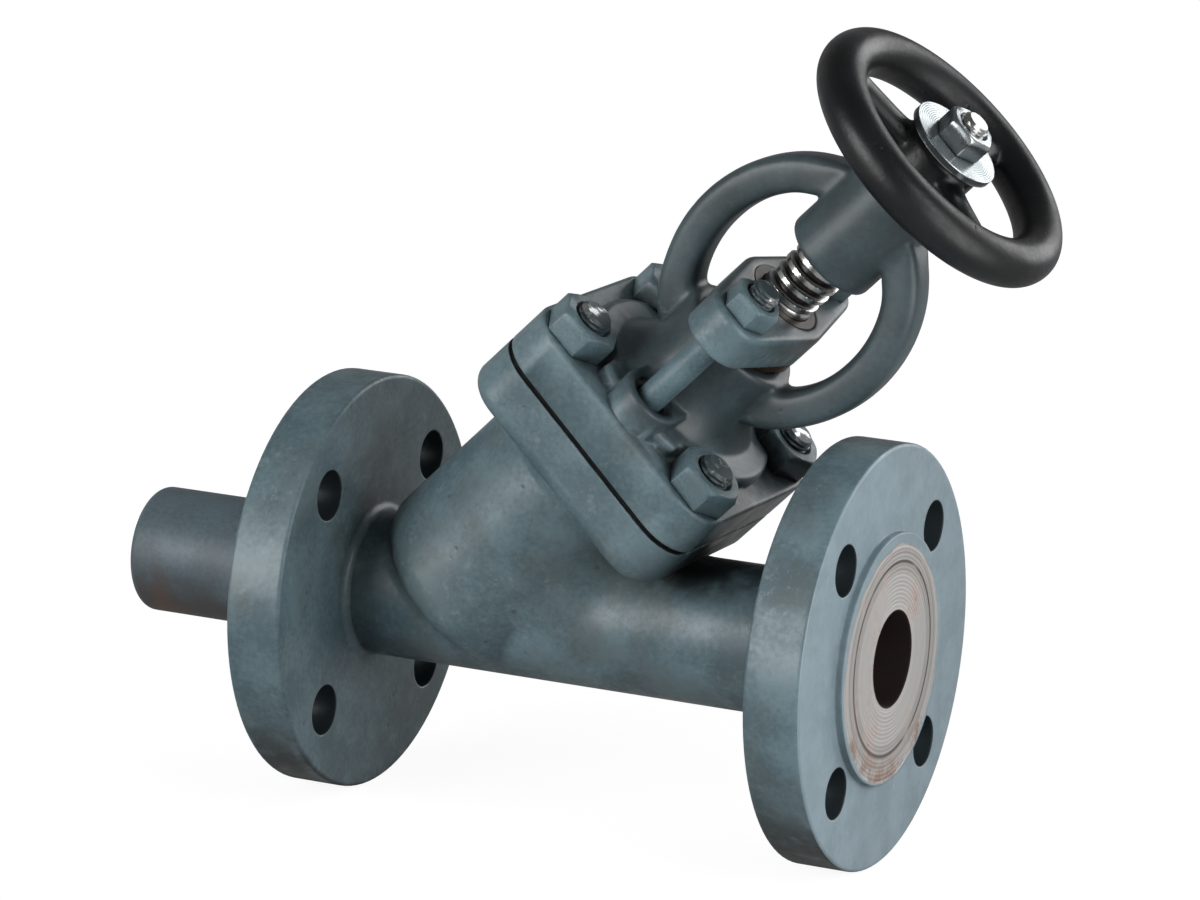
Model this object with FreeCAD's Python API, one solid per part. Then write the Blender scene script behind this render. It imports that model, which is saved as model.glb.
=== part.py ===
import FreeCAD, Part
import math
import os

# Boiler discharge valve of the oblique pattern, with flanged ends and a rising stem.
# All sizes are in millimetres. X runs along the pipe from the inlet flange's gasket
# face to the outlet, Z is up, and the stem leans towards the outlet in the X-Z plane.
# What sits on the stem is modelled upright, at its height along the stem above the
# point where the two axes cross, and is then tilted into place.

Vector = FreeCAD.Vector

# Pipe line
face_to_face = 172.0
stem_offset = 43.0
stem_angle = 45.0
core_d = 25.0
port_d = 26.0
port_depth = 40.0
run_wall = 7.5

# End flanges
flange_d = 115.0
flange_thickness = 16.0
flange_edge = 1.0
flange_root = 2.5
raised_face_d = 68.0
raised_face_height = 2.0
bolt_circle_d = 85.0
bolt_hole_d = 14.0
bolt_count = 4

# Inlet spigot
spigot_d = 35.0
spigot_reach = 52.0
spigot_depth = 14.0
spigot_edge = 2.5
spigot_shoulder = 0.5
spigot_groove = 1.0
spigot_groove_depth = 0.8

# Body casting
chamber_d = 44.0
chamber_wall = 7.0
branch_floor = -0.5
branch_floor_round = 9.0
crotch_radius = 4.0
seat_wall_base = -2.0
seat_wall_thickness = 8.0

# Joint between body and bonnet
joint_height = 75.0
body_flange_thickness = 15.0
body_flange_flare = 6.0
body_flange_round = 4.0
square_corner = 12.0
stud_edge_distance = 11.0
stud_land = 2.8
gasket_thickness = 1.5
gasket_setback = 0.7
gasket_land = 1.5
bonnet_flange_thickness = 12.5
bonnet_flange_edge = 1.0
bonnet_spigot_depth = 5.0
bonnet_spigot_clearance = 0.2

# Bonnet studs and nuts
stud_d = 10.0
stud_engagement = 12.0
stud_overrun = 2.5
stud_chamfer = 1.0
stud_hole_clearance = 0.5
nut_across_flats = 17.0
nut_height = 8.0
nut_chamfer_angle = 30.0
spot_face_margin = 1.7

# Seat, disc and its retainer
seat_bore_d = 25.0
seat_ring_wall = 4.5
seat_lip = 2.0
seat_lip_width = 3.4
seat_relief = 0.75
disc_overlap = 3.0
disc_plate = 5.0
disc_rim_height = 5.0
disc_edge = 1.0
disc_hub_wall = 2.0
disc_nut_thread = 1.0
disc_nut_height = 5.0
spanner_slot_width = 2.5
spanner_slot_depth = 1.7
head_play = 0.4
neck_play = 0.4
thrust_pad_thickness = 2.0
thrust_pad_edge = 0.4
lock_pin_d = 2.5
lock_pin_bite = 2.5

# Stem
stem_d = 16.0
stem_head_d = 21.2
stem_head_height = 6.0
stem_neck_d = 13.0
stem_neck_length = 8.0
stem_edge = 1.0
back_seat_d = 22.0
back_seat_height = 5.0
lift = 9.0
back_seat_gap = 0.1
running_clearance = 0.05
loose_clearance = 0.25

# Bonnet neck and stuffing box
back_seat_bush_wall = 4.0
back_seat_bush_length = 10.0
platform_width = 7.0
platform_height = 4.0
platform_edge = 2.0
casting_edge = 1.2
packing_width = 5.0
packing_height = 4.5
packing_count = 4
packing_clearance = 0.08
base_ring_height = 3.0
box_floor_rise = 2.0
box_wall = 4.5
neck_flare = 6.5
neck_flare_height = 13.0

# Gland
follower_entry = 4.5
gland_gap = 2.0
gland_back_off = 3.0
follower_collar = 2.5
follower_collar_wall = 1.4
follower_sleeve_wall = 2.7
gland_thickness = 11.5
gland_side_wall = 3.8
gland_lobe_wall = 5.5
gland_edge = 1.5
gland_stud_d = 8.0
gland_stud_land = 9.0
gland_stud_depth = 9.0
gland_stud_overrun = 3.5
gland_stud_chamfer = 0.8
gland_nut_across_flats = 13.0
gland_nut_height = 6.5
lug_wall = 5.0
lug_height = 8.0
lug_recess = 1.5
lug_recess_wall = 2.5
lug_edge = 0.8

# Yoke
window_half_width = 24.5
window_half_length = 29.0
window_drop = 10.0
yoke_width = 10.5
yoke_depth = 12.0
yoke_round = 2.0
yoke_web_radius = 8.0
hub_drop = 15.0
hub_rise = 4.5
hub_wall = 2.8
bush_wall = 2.4
bush_collar = 2.0
bush_collar_width = 2.0
grub_screw_d = 4.0
grub_screw_drop = 8.0
grub_screw_sink = 0.3

# Handwheel
rim_mid_d = 70.0
rim_section_d = 13.0
rim_rise = 8.4
wheel_gap = 2.0
wheel_hub_wall = 4.5
wheel_hub_height = 12.5
wheel_hub_edge = 1.5
wheel_square = 10.0
wheel_square_drop = 0.2
square_clearance = 0.05
spoke_count = 3
spoke_angle = 205.0
spoke_width = 12.0
spoke_taper = 0.8
spoke_thickness = 7.0
wheel_nut_thread_d = 8.0
wheel_nut_across_flats = 13.0
wheel_nut_height = 6.5
wheel_nut_overrun = 2.0
wheel_washer_d = 27.0
wheel_washer_thickness = 2.0

# Radii and stations that follow from the sizes above
core_r = core_d / 2
port_r = port_d / 2
run_r = core_r + run_wall
spigot_r = spigot_d / 2
spigot_tail_r = spigot_r - spigot_shoulder
branch_r = chamber_d / 2 + chamber_wall
stem_r = stem_d / 2
stud_r = stud_d / 2
head_r = stem_head_d / 2
head_pocket_r = head_r + head_play
disc_r = seat_bore_d / 2 + disc_overlap
disc_nut_r = head_pocket_r + disc_nut_thread
disc_hub_r = disc_nut_r + disc_hub_wall
stud_offset = (branch_r + stud_r + stud_land) / math.sqrt(2)
square_half = stud_offset + stud_edge_distance
seat_ring_r = seat_bore_d / 2 + seat_ring_wall
box_r = stem_r + packing_width
neck_r = box_r + box_wall
platform_r = neck_r + neck_flare + platform_width
sleeve_r = stem_r + follower_sleeve_wall
gland_stud_r = gland_stud_d / 2
gland_stud_offset = neck_r + gland_stud_land
lug_r = gland_stud_r + lug_wall
bush_r = stem_r + bush_wall
hub_r = bush_r + hub_wall
wheel_thread_r = wheel_nut_thread_d / 2
wheel_hub_r = wheel_square / math.sqrt(2) + wheel_hub_wall

# Heights along the stem with the valve shut
seat_wall_top = seat_wall_base + seat_wall_thickness
seat_face = seat_wall_top + seat_lip
pad_base = seat_face + disc_plate
head_base = pad_base + thrust_pad_thickness
head_top = head_base + stem_head_height
disc_nut_base = head_top + head_play
disc_top = disc_nut_base + disc_nut_height
shank_base = head_top + stem_neck_length
body_flange_base = joint_height - body_flange_thickness
stud_base = joint_height - stud_engagement
bonnet_base = joint_height + gasket_thickness
bonnet_top = bonnet_base + bonnet_flange_thickness
back_seat_face = joint_height - bonnet_spigot_depth
back_seat_top = back_seat_face - lift - back_seat_gap
bush_top = back_seat_face + back_seat_bush_length
platform_top = bonnet_top + platform_height
box_floor = bonnet_top + box_floor_rise
packing_base = box_floor + base_ring_height
packing_top = packing_base + packing_count * packing_height
box_top = packing_top + follower_entry
collar_base = box_top + gland_gap
gland_base = collar_base + follower_collar
gland_top = gland_base + gland_thickness
gland_nut_top = gland_top + gland_nut_height
gland_stud_end = gland_nut_top + gland_stud_overrun
lug_top = bonnet_top + lug_height
lug_floor = lug_top - lug_recess
gland_stud_base = lug_floor - gland_stud_depth
window_base = box_top - window_drop
yoke_centre = window_base + window_half_length
window_top = yoke_centre + window_half_length
hub_base = window_top - hub_drop
hub_top = window_top + yoke_width + hub_rise
yoke_bush_top = hub_top + bush_collar
wheel_base = yoke_bush_top + wheel_gap
wheel_top = wheel_base + wheel_hub_height
rim_height = wheel_base + rim_rise
washer_top = wheel_top + wheel_washer_thickness
wheel_nut_top = washer_top + wheel_nut_height
stem_end = wheel_nut_top + wheel_nut_overrun

# How far joined forms run into each other, and how far a cut passes the face that it opens
overlap = 1.0

# How far the foot of a root fillet runs under the surface that it meets, so that the two cross
root_sink = 0.1

# Two places closer than this are the same corner
same_place = 1e-6


def tilt(shape):
    """Leans an upright shape along the stem and carries it to the stem's axis."""
    shape.rotate(Vector(0, 0, 0), Vector(0, 1, 0), stem_angle)
    shape.translate(Vector(stem_offset, 0, 0))
    return shape


def post(radius, base, top, across=0.0, depth=0.0):
    """An upright cylinder between two heights, at a place across the stem."""
    return Part.makeCylinder(radius, top - base, Vector(across, depth, base))


def tube(outer, inner, base, top, across=0.0, depth=0.0):
    """An upright sleeve."""
    return post(outer, base, top, across, depth).cut(post(inner, base, top, across, depth))


def rounded_outline(corners, place):
    """A closed outline through corners, as a face.

    A corner is two coordinates, which place turns into a point, and it may end with the radius
    of the arc that rounds it. The arc touches both sides: it starts at radius / tan(half the
    corner's angle) from the corner, and its middle lies on the corner's bisector.
    """
    points = [place(corner[0], corner[1]) for corner in corners]
    starts = []
    middles = []
    ends = []
    for number, corner in enumerate(corners):
        here = points[number]
        if len(corner) == 2:
            starts.append(here)
            middles.append(None)
            ends.append(here)
            continue
        radius = corner[2]
        back = (points[number - 1] - here).normalize()
        onward = (points[(number + 1) % len(points)] - here).normalize()
        half_angle = back.getAngle(onward) / 2
        reach = radius / math.tan(half_angle)
        starts.append(here + back * reach)
        middles.append(here + (back + onward).normalize() * (radius / math.sin(half_angle) - radius))
        ends.append(here + onward * reach)
    edges = []
    for number, middle in enumerate(middles):
        if middle is not None:
            edges.append(Part.Arc(starts[number], middle, ends[number]).toShape())
        next_start = starts[(number + 1) % len(starts)]
        if (next_start - ends[number]).Length > same_place:
            edges.append(Part.makeLine(ends[number], next_start))
    return Part.Face(Part.Wire(edges))


def lathe(corners):
    """Turns a closed outline of (radius, height) corners about the stem. A third value rounds a corner."""
    outline = rounded_outline(corners, lambda radius, height: Vector(radius, 0, height))
    return outline.revolve(Vector(0, 0, 0), Vector(0, 0, 1), 360)


def chamfered_post(radius, base, top, chamfer, across=0.0, depth=0.0):
    """A stud or pin with both ends chamfered."""
    stud = lathe([(0, base), (radius - chamfer, base), (radius, base + chamfer),
                  (radius, top - chamfer), (radius - chamfer, top), (0, top)])
    stud.translate(Vector(across, depth, 0))
    return stud


def rounded_top(solid, top, radius):
    """Rounds the outer edges of a solid's flat top."""
    rims = [edge for edge in solid.Edges if edge.BoundBox.ZMin > top - 0.001]
    return solid.makeFillet(radius, rims)


def square_prism(half, corner, base, top):
    """A square plate with round corners, centred on the stem."""
    side = 2 * half
    plate = Part.makeBox(side, side, top - base, Vector(-half, -half, base))
    uprights = [edge for edge in plate.Edges if abs(edge.tangentAt(edge.FirstParameter).z) > 0.5]
    return plate.makeFillet(corner, uprights)


def hex_nut(across_flats, height, hole_r, base, across=0.0, depth=0.0):
    """A hexagon nut whose top corners are turned off, as a standard nut's are."""
    corner_r = across_flats / math.sqrt(3)
    corners = []
    for step in range(7):
        turn = math.radians(60 * step)
        corners.append(Vector(corner_r * math.cos(turn), corner_r * math.sin(turn), base))
    prism = Part.Face(Part.makePolygon(corners)).extrude(Vector(0, 0, height))
    crown_r = across_flats / 2
    drop = (corner_r - crown_r) * math.tan(math.radians(nut_chamfer_angle))
    turned = lathe([(0, base), (corner_r, base), (corner_r, base + height - drop),
                    (crown_r, base + height), (0, base + height)])
    nut = prism.common(turned).cut(post(hole_r, base, base + height))
    nut.translate(Vector(across, depth, 0))
    return nut


def stadium(radius, spread, base, top):
    """An upright slab with round ends, whose end circles lie either side of the stem."""
    slab = Part.makeBox(2 * radius, 2 * spread, top - base, Vector(-radius, -spread, base))
    ends = [post(radius, base, top, 0, -spread), post(radius, base, top, 0, spread)]
    return slab.fuse(ends).removeSplitter()


def four_studs():
    """Where the bonnet studs stand, across and in depth."""
    return [(stud_offset * i, stud_offset * j) for i in (-1, 1) for j in (-1, 1)]


def pipe_along_x(radius, start, end):
    """A cylinder on the pipe's axis."""
    return Part.makeCylinder(radius, end - start, Vector(start, 0, 0), Vector(1, 0, 0))


def end_flange(face, inward):
    """One end flange with its raised face and the fillet at its root.

    inward is 1 where the pipe leaves towards +X and -1 where it leaves towards -X.
    """
    back = raised_face_height + flange_thickness
    rim = flange_d / 2
    root_end = back + flange_root
    root_r = run_r - root_sink
    corners = [(0, 0), (0, raised_face_d / 2), (raised_face_height, raised_face_d / 2),
               (raised_face_height, rim, flange_edge), (back, rim, flange_edge),
               (back, root_r, flange_root), (root_end, root_r), (root_end, 0)]
    outline = rounded_outline(corners, lambda depth, radius: Vector(face + inward * depth, 0, radius))
    flange = outline.revolve(Vector(0, 0, 0), Vector(1, 0, 0), 360)
    holes = []
    for number in range(bolt_count):
        turn = math.radians(360.0 / bolt_count * (number + 0.5))
        start = Vector(face + inward * raised_face_height, bolt_circle_d / 2 * math.cos(turn),
                       bolt_circle_d / 2 * math.sin(turn))
        holes.append(Part.makeCylinder(bolt_hole_d / 2, flange_thickness, start, Vector(inward, 0, 0)))
    return flange.cut(holes)


def branch_outside():
    """The branch that carries the bonnet, with the rounded lower end it has in the casting."""
    return tilt(lathe([(0, branch_floor), (branch_r, branch_floor, branch_floor_round),
                       (branch_r, joint_height), (0, joint_height)]))


def crease_edges(casting):
    """The curves where the branch meets the run: bent edges that lie on the run's surface."""
    found = []
    for edge in casting.Edges:
        span = edge.LastParameter - edge.FirstParameter
        points = [edge.valueAt(edge.FirstParameter + span * share / 8.0) for share in range(9)]
        on_run = all(abs(math.hypot(point.y, point.z) - run_r) < 0.001 for point in points)
        leaves_middle = max(abs(point.y) for point in points) > 0.5
        lengthwise = max(point.x for point in points) - min(point.x for point in points) > 0.5
        if on_run and leaves_middle and lengthwise:
            found.append(edge)
    return found


def body_flange():
    """The square flange under the joint, with its rounded lower edge and the flare of the neck."""
    plate = square_prism(square_half, square_corner, body_flange_base, joint_height)
    lower = [edge for edge in plate.Edges if edge.BoundBox.ZMax < body_flange_base + 0.001]
    plate = plate.makeFillet(body_flange_round, lower)
    flare_base = body_flange_base - body_flange_flare
    root_r = branch_r - root_sink
    flare_r = root_r + body_flange_flare
    neck = lathe([(0, flare_base), (root_r, flare_base), (root_r, body_flange_base, body_flange_flare),
                  (flare_r, body_flange_base), (flare_r, joint_height), (0, joint_height)])
    # The seam of the turned neck faces the inlet, away from the crotch on the outlet's side.
    neck.rotate(Vector(0, 0, 0), Vector(0, 0, 1), 180)
    return tilt(plate.fuse(neck))


def half_space(base, top):
    """A block that holds everything between two heights along the stem."""
    reach = face_to_face
    return tilt(Part.makeBox(2 * reach, 2 * reach, top - base, Vector(-reach, -reach, base)))


def valve_body():
    """The cored casting: run, branch, both end flanges, the seat wall and the bonnet joint."""
    run = pipe_along_x(run_r, raised_face_height, face_to_face - raised_face_height)
    core = run.fuse(branch_outside())
    core = core.makeFillet(crotch_radius, crease_edges(core))
    casting = core.fuse([end_flange(0, 1), end_flange(face_to_face, -1), body_flange()])
    inlet_way = pipe_along_x(core_r, 0, face_to_face).common(half_space(-face_to_face, seat_wall_base))
    outlet_way = pipe_along_x(core_r, 0, face_to_face).common(half_space(seat_wall_top, face_to_face))
    outlet_port = pipe_along_x(port_r, face_to_face - port_depth, face_to_face)
    socket = pipe_along_x(spigot_tail_r, 0, spigot_depth)
    groove = pipe_along_x(spigot_r + spigot_groove, 0, spigot_groove_depth)
    chamber = tilt(post(chamber_d / 2, seat_wall_top, joint_height))
    seat_pocket = tilt(post(seat_ring_r, seat_wall_base, seat_wall_top))
    voids = [inlet_way, outlet_way, outlet_port, chamber, seat_pocket, socket, groove]
    for across, depth in four_studs():
        voids.append(tilt(post(stud_r, stud_base, joint_height, across, depth)))
    return casting.cut(voids)


def inlet_spigot():
    """The pipe stub that is set in the inlet flange and reaches into the boiler's stand pipe."""
    corners = [(-spigot_reach, port_r), (-spigot_reach, spigot_r, spigot_edge), (0, spigot_r),
               (0, spigot_tail_r), (spigot_depth, spigot_tail_r), (spigot_depth, port_r)]
    outline = rounded_outline(corners, lambda along, radius: Vector(along, 0, radius))
    return outline.revolve(Vector(0, 0, 0), Vector(1, 0, 0), 360)


def seat_ring():
    """The hard-faced seat, pressed into the seat wall, with its lip standing above the wall."""
    seat_bore = seat_bore_d / 2
    lip_r = seat_bore + seat_lip_width
    return tilt(lathe([(seat_bore + seat_relief, seat_wall_base), (seat_ring_r, seat_wall_base),
                       (seat_ring_r, seat_wall_top), (lip_r, seat_wall_top), (lip_r, seat_face),
                       (seat_bore, seat_face), (seat_bore, seat_wall_base + seat_relief)]))


def disc():
    """The valve disc: a flat-faced plug, hollow above to take the stem's head."""
    rim_top = seat_face + disc_rim_height
    plug = lathe([(0, seat_face), (disc_r - disc_edge, seat_face), (disc_r, seat_face + disc_edge),
                  (disc_r, rim_top - disc_edge), (disc_hub_r, rim_top + disc_edge),
                  (disc_hub_r, disc_top - disc_edge), (disc_hub_r - disc_edge, disc_top),
                  (disc_nut_r, disc_top), (disc_nut_r, disc_nut_base), (head_pocket_r, disc_nut_base),
                  (head_pocket_r, pad_base), (0, pad_base)])
    return tilt(plug.cut(lock_pin_upright()))


def lock_pin_upright():
    """The radial pin through the disc's wall into its nut, before it is tilted."""
    middle = (disc_nut_base + disc_top) / 2
    start = disc_nut_r - lock_pin_bite
    return Part.makeCylinder(lock_pin_d / 2, disc_hub_r - start, Vector(start, 0, middle), Vector(1, 0, 0))


def disc_lock_pin():
    """The pin that keeps the disc nut from unscrewing."""
    return tilt(lock_pin_upright())


def disc_nut():
    """The threaded ring that holds the stem's head in the disc, with two spanner slots."""
    ring = tube(disc_nut_r, stem_neck_d / 2 + neck_play, disc_nut_base, disc_top)
    slot = Part.makeBox(spanner_slot_width, 2 * disc_nut_r, spanner_slot_depth,
                        Vector(-spanner_slot_width / 2, -disc_nut_r, disc_top - spanner_slot_depth))
    return tilt(ring.cut([slot, lock_pin_upright()]))


def thrust_pad():
    """The hard button between the stem's end and the disc."""
    return tilt(chamfered_post(stem_neck_d / 2, pad_base, head_base, thrust_pad_edge))


def stem():
    """The stem: head, neck, back seat, shank and the squared end that carries the wheel."""
    neck = stem_neck_d / 2
    back_r = back_seat_d / 2
    back_base = back_seat_top - back_seat_height
    taper = back_r - stem_r
    turned = lathe([(0, head_base), (head_r - stem_edge, head_base), (head_r, head_base + stem_edge),
                    (head_r, head_top), (neck, head_top), (neck, shank_base), (stem_r, shank_base + stem_edge),
                    (stem_r, back_base - taper), (back_r, back_base), (back_r, back_seat_top),
                    (stem_r, back_seat_top), (stem_r, wheel_base - stem_edge),
                    (stem_r - stem_edge, wheel_base), (0, wheel_base)])
    square_top = wheel_top - wheel_square_drop
    square = Part.makeBox(wheel_square, wheel_square, square_top - wheel_base,
                          Vector(-wheel_square / 2, -wheel_square / 2, wheel_base))
    thread_end = chamfered_post(wheel_thread_r, square_top - overlap, stem_end, stem_edge)
    shaft = turned.fuse([square, thread_end])
    shaft.rotate(Vector(0, 0, 0), Vector(0, 0, 1), spoke_angle)
    return tilt(shaft)


def back_seat_bush():
    """The bush in the bonnet that guides the stem and stops it at full lift."""
    outer = stem_r + back_seat_bush_wall
    return tilt(tube(outer, stem_r + running_clearance, back_seat_face, bush_top))


def bonnet_gasket():
    """The flat gasket between the square flanges, set back a little from their edge."""
    plate = square_prism(square_half - gasket_setback, square_corner - gasket_setback, joint_height,
                         bonnet_base)
    holes = [post(chamber_d / 2 + gasket_land, joint_height, bonnet_base)]
    for across, depth in four_studs():
        holes.append(post(stud_r + stud_hole_clearance, joint_height, bonnet_base, across, depth))
    return tilt(plate.cut(holes))


def bonnet_studs():
    """The four studs, screwed into the body's square flange."""
    end = bonnet_top + nut_height + stud_overrun
    studs = []
    for across, depth in four_studs():
        studs.append(tilt(chamfered_post(stud_r, stud_base, end, stud_chamfer, across, depth)))
    return Part.makeCompound(studs)


def bonnet_nuts():
    """The four nuts on the bonnet studs."""
    nuts = []
    for across, depth in four_studs():
        nuts.append(tilt(hex_nut(nut_across_flats, nut_height, stud_r, bonnet_top, across, depth)))
    return Part.makeCompound(nuts)


def yoke_band(depth):
    """The oval band of the yoke between its window and its outer edge, as deep as asked."""
    def oval(half_width, half_length):
        centre = Vector(0, -depth / 2, yoke_centre)
        long_end = centre + Vector(0, 0, half_length)
        wide_end = centre + Vector(half_width, 0, 0)
        curve = Part.Ellipse(long_end, wide_end, centre)
        return Part.Face(Part.Wire([curve.toShape()])).extrude(Vector(0, depth, 0))

    outside = oval(window_half_width + yoke_width, window_half_length + yoke_width)
    return outside.cut(oval(window_half_width, window_half_length))


def web_plan():
    """The plan of the webs, as a face under the hub.

    Each web leaves the band's side along an arc that also touches a circle just inside the hub, so
    the arc's centre lies one web radius from both.
    """
    side = yoke_depth / 2
    inner_r = hub_r - overlap
    centre_out = side + yoke_web_radius
    centre_across = math.sqrt((inner_r + yoke_web_radius) ** 2 - centre_out ** 2)
    share = inner_r / (inner_r + yoke_web_radius)
    edges = []
    for across, depth in ((1, 1), (-1, 1), (-1, -1), (1, -1)):
        centre = Vector(across * centre_across, depth * centre_out, yoke_centre)
        on_band = Vector(across * centre_across, depth * side, yoke_centre)
        in_hub = Vector(across * centre_across * share, depth * centre_out * share, yoke_centre)
        halfway = ((on_band - centre) + (in_hub - centre)).normalize()
        edges.append(Part.Arc(on_band, centre + halfway * yoke_web_radius, in_hub).toShape())
        edges.append(Part.makeLine(in_hub, Vector(0, in_hub.y, yoke_centre)))
        edges.append(Part.makeLine(on_band, Vector(on_band.x, 0, yoke_centre)))
    return Part.Face(Part.Wire(Part.__sortEdges__(edges)))


def yoke():
    """The oval ring of the yoke, which widens to the hub in webs and is rounded on its edges."""
    ring = yoke_band(yoke_depth)
    upright = web_plan().extrude(Vector(0, 0, window_half_length + yoke_width))
    ring = ring.fuse(yoke_band(2 * hub_r).common(upright)).removeSplitter()
    rims = [edge for edge in ring.Edges if runs_along_band(edge)]
    return ring.makeFillet(yoke_round, rims)


def runs_along_band(edge):
    """Whether an edge follows the band's window or its outer oval instead of crossing the band."""
    span = edge.LastParameter - edge.FirstParameter
    points = [edge.valueAt(edge.FirstParameter + span * share / 6.0) for share in range(7)]
    follows = False
    for width in (0, yoke_width):
        stray = [abs((point.x / (window_half_width + width)) ** 2
                     + ((point.z - yoke_centre) / (window_half_length + width)) ** 2 - 1) for point in points]
        follows = follows or max(stray) < 0.001
    crossing = math.hypot(points[-1].x - points[0].x, points[-1].z - points[0].z) < 0.001
    return follows and not crossing


def bonnet_centre():
    """The turned middle of the bonnet: spigot, platform, flared neck and stuffing box.

    The flare is an arc that touches the neck and comes down on the platform: its radius is
    (flare^2 + height^2) / (2 * flare).
    """
    register_r = chamber_d / 2 - bonnet_spigot_clearance
    ease = casting_edge
    flare_top = platform_top + neck_flare_height
    flare_radius = (neck_flare ** 2 + neck_flare_height ** 2) / (2 * neck_flare)
    half_sweep = math.asin(neck_flare_height / flare_radius) / 2
    flare_start = Vector(neck_r + neck_flare, 0, platform_top)
    flare_middle = Vector(neck_r + flare_radius * (1 - math.cos(half_sweep)), 0,
                          flare_top - flare_radius * math.sin(half_sweep))
    flare_end = Vector(neck_r, 0, flare_top)
    flare = [Part.makeLine(Vector(0, 0, platform_top), flare_start),
             Part.Arc(flare_start, flare_middle, flare_end).toShape(),
             Part.makeLine(flare_end, Vector(0, 0, flare_top)),
             Part.makeLine(Vector(0, 0, flare_top), Vector(0, 0, platform_top))]
    neck = Part.Face(Part.Wire(flare)).revolve(Vector(0, 0, 0), Vector(0, 0, 1), 360)
    register = lathe([(0, back_seat_face), (register_r - ease, back_seat_face),
                      (register_r, back_seat_face + ease), (register_r, bonnet_base + overlap),
                      (0, bonnet_base + overlap)])
    platform = lathe([(0, bonnet_base + overlap), (platform_r, bonnet_base + overlap),
                      (platform_r, platform_top, platform_edge), (0, platform_top)])
    box = lathe([(0, flare_top), (neck_r, flare_top), (neck_r, box_top, ease), (0, box_top)])
    return register.fuse([platform, neck, box]).removeSplitter()


def yoke_hub():
    """The boss at the top of the yoke that holds the threaded bush."""
    return lathe([(0, hub_base), (hub_r, hub_base, casting_edge), (hub_r, hub_top, casting_edge), (0, hub_top)])


def grub_screw_upright():
    """The set screw that locks the yoke bush, on the side away from the gland nut."""
    height = hub_top - grub_screw_drop
    return Part.makeCylinder(grub_screw_d / 2, hub_wall - grub_screw_sink, Vector(0, bush_r, height),
                             Vector(0, 1, 0))


def bonnet():
    """The bonnet casting with its yoke, lugs for the gland studs and spot-faced stud holes."""
    plate = rounded_top(square_prism(square_half, square_corner, bonnet_base, bonnet_top), bonnet_top,
                        bonnet_flange_edge)
    lugs = rounded_top(stadium(lug_r, gland_stud_offset, bonnet_base + overlap, lug_top), lug_top, lug_edge)
    casting = plate.fuse([bonnet_centre(), lugs, yoke(), yoke_hub()])
    spot_r = nut_across_flats / math.sqrt(3) + spot_face_margin
    voids = [post(box_r, box_floor, yoke_centre), post(stem_r + 2 * loose_clearance, bush_top, box_floor),
             post(stem_r + back_seat_bush_wall, back_seat_face, bush_top), post(bush_r, hub_base, hub_top),
             Part.makeCylinder(grub_screw_d / 2, hub_r, Vector(0, 0, hub_top - grub_screw_drop),
                               Vector(0, 1, 0))]
    for across, depth in four_studs():
        voids.append(post(stud_r + stud_hole_clearance, bonnet_base, bonnet_top, across, depth))
        voids.append(post(spot_r, bonnet_top, lug_top + overlap, across, depth))
    for depth in (-gland_stud_offset, gland_stud_offset):
        voids.append(post(gland_stud_r, gland_stud_base, lug_top, 0, depth))
        voids.append(post(gland_stud_r + lug_recess_wall, lug_floor, lug_top, 0, depth))
    return tilt(casting.cut(voids))


def packing_base_ring():
    """The metal ring on the floor of the stuffing box."""
    return tilt(tube(box_r, stem_r + loose_clearance, box_floor, packing_base))


def packing_rings():
    """The square-plaited packing, one ring above the other."""
    rings = []
    for number in range(packing_count):
        base = packing_base + number * packing_height
        rings.append(tilt(tube(box_r, stem_r + packing_clearance, base, base + packing_height)))
    return Part.makeCompound(rings)


def gland_follower():
    """The gland bush: a nose that enters the stuffing box, a collar and a sleeve for the flange."""
    nose_r = box_r - packing_clearance
    collar_r = box_r + follower_collar_wall
    inside = stem_r + loose_clearance
    return tilt(lathe([(inside, packing_top), (nose_r, packing_top), (nose_r, collar_base),
                       (collar_r, collar_base), (collar_r, gland_base), (sleeve_r, gland_base),
                       (sleeve_r, gland_top), (inside, gland_top)]))


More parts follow.
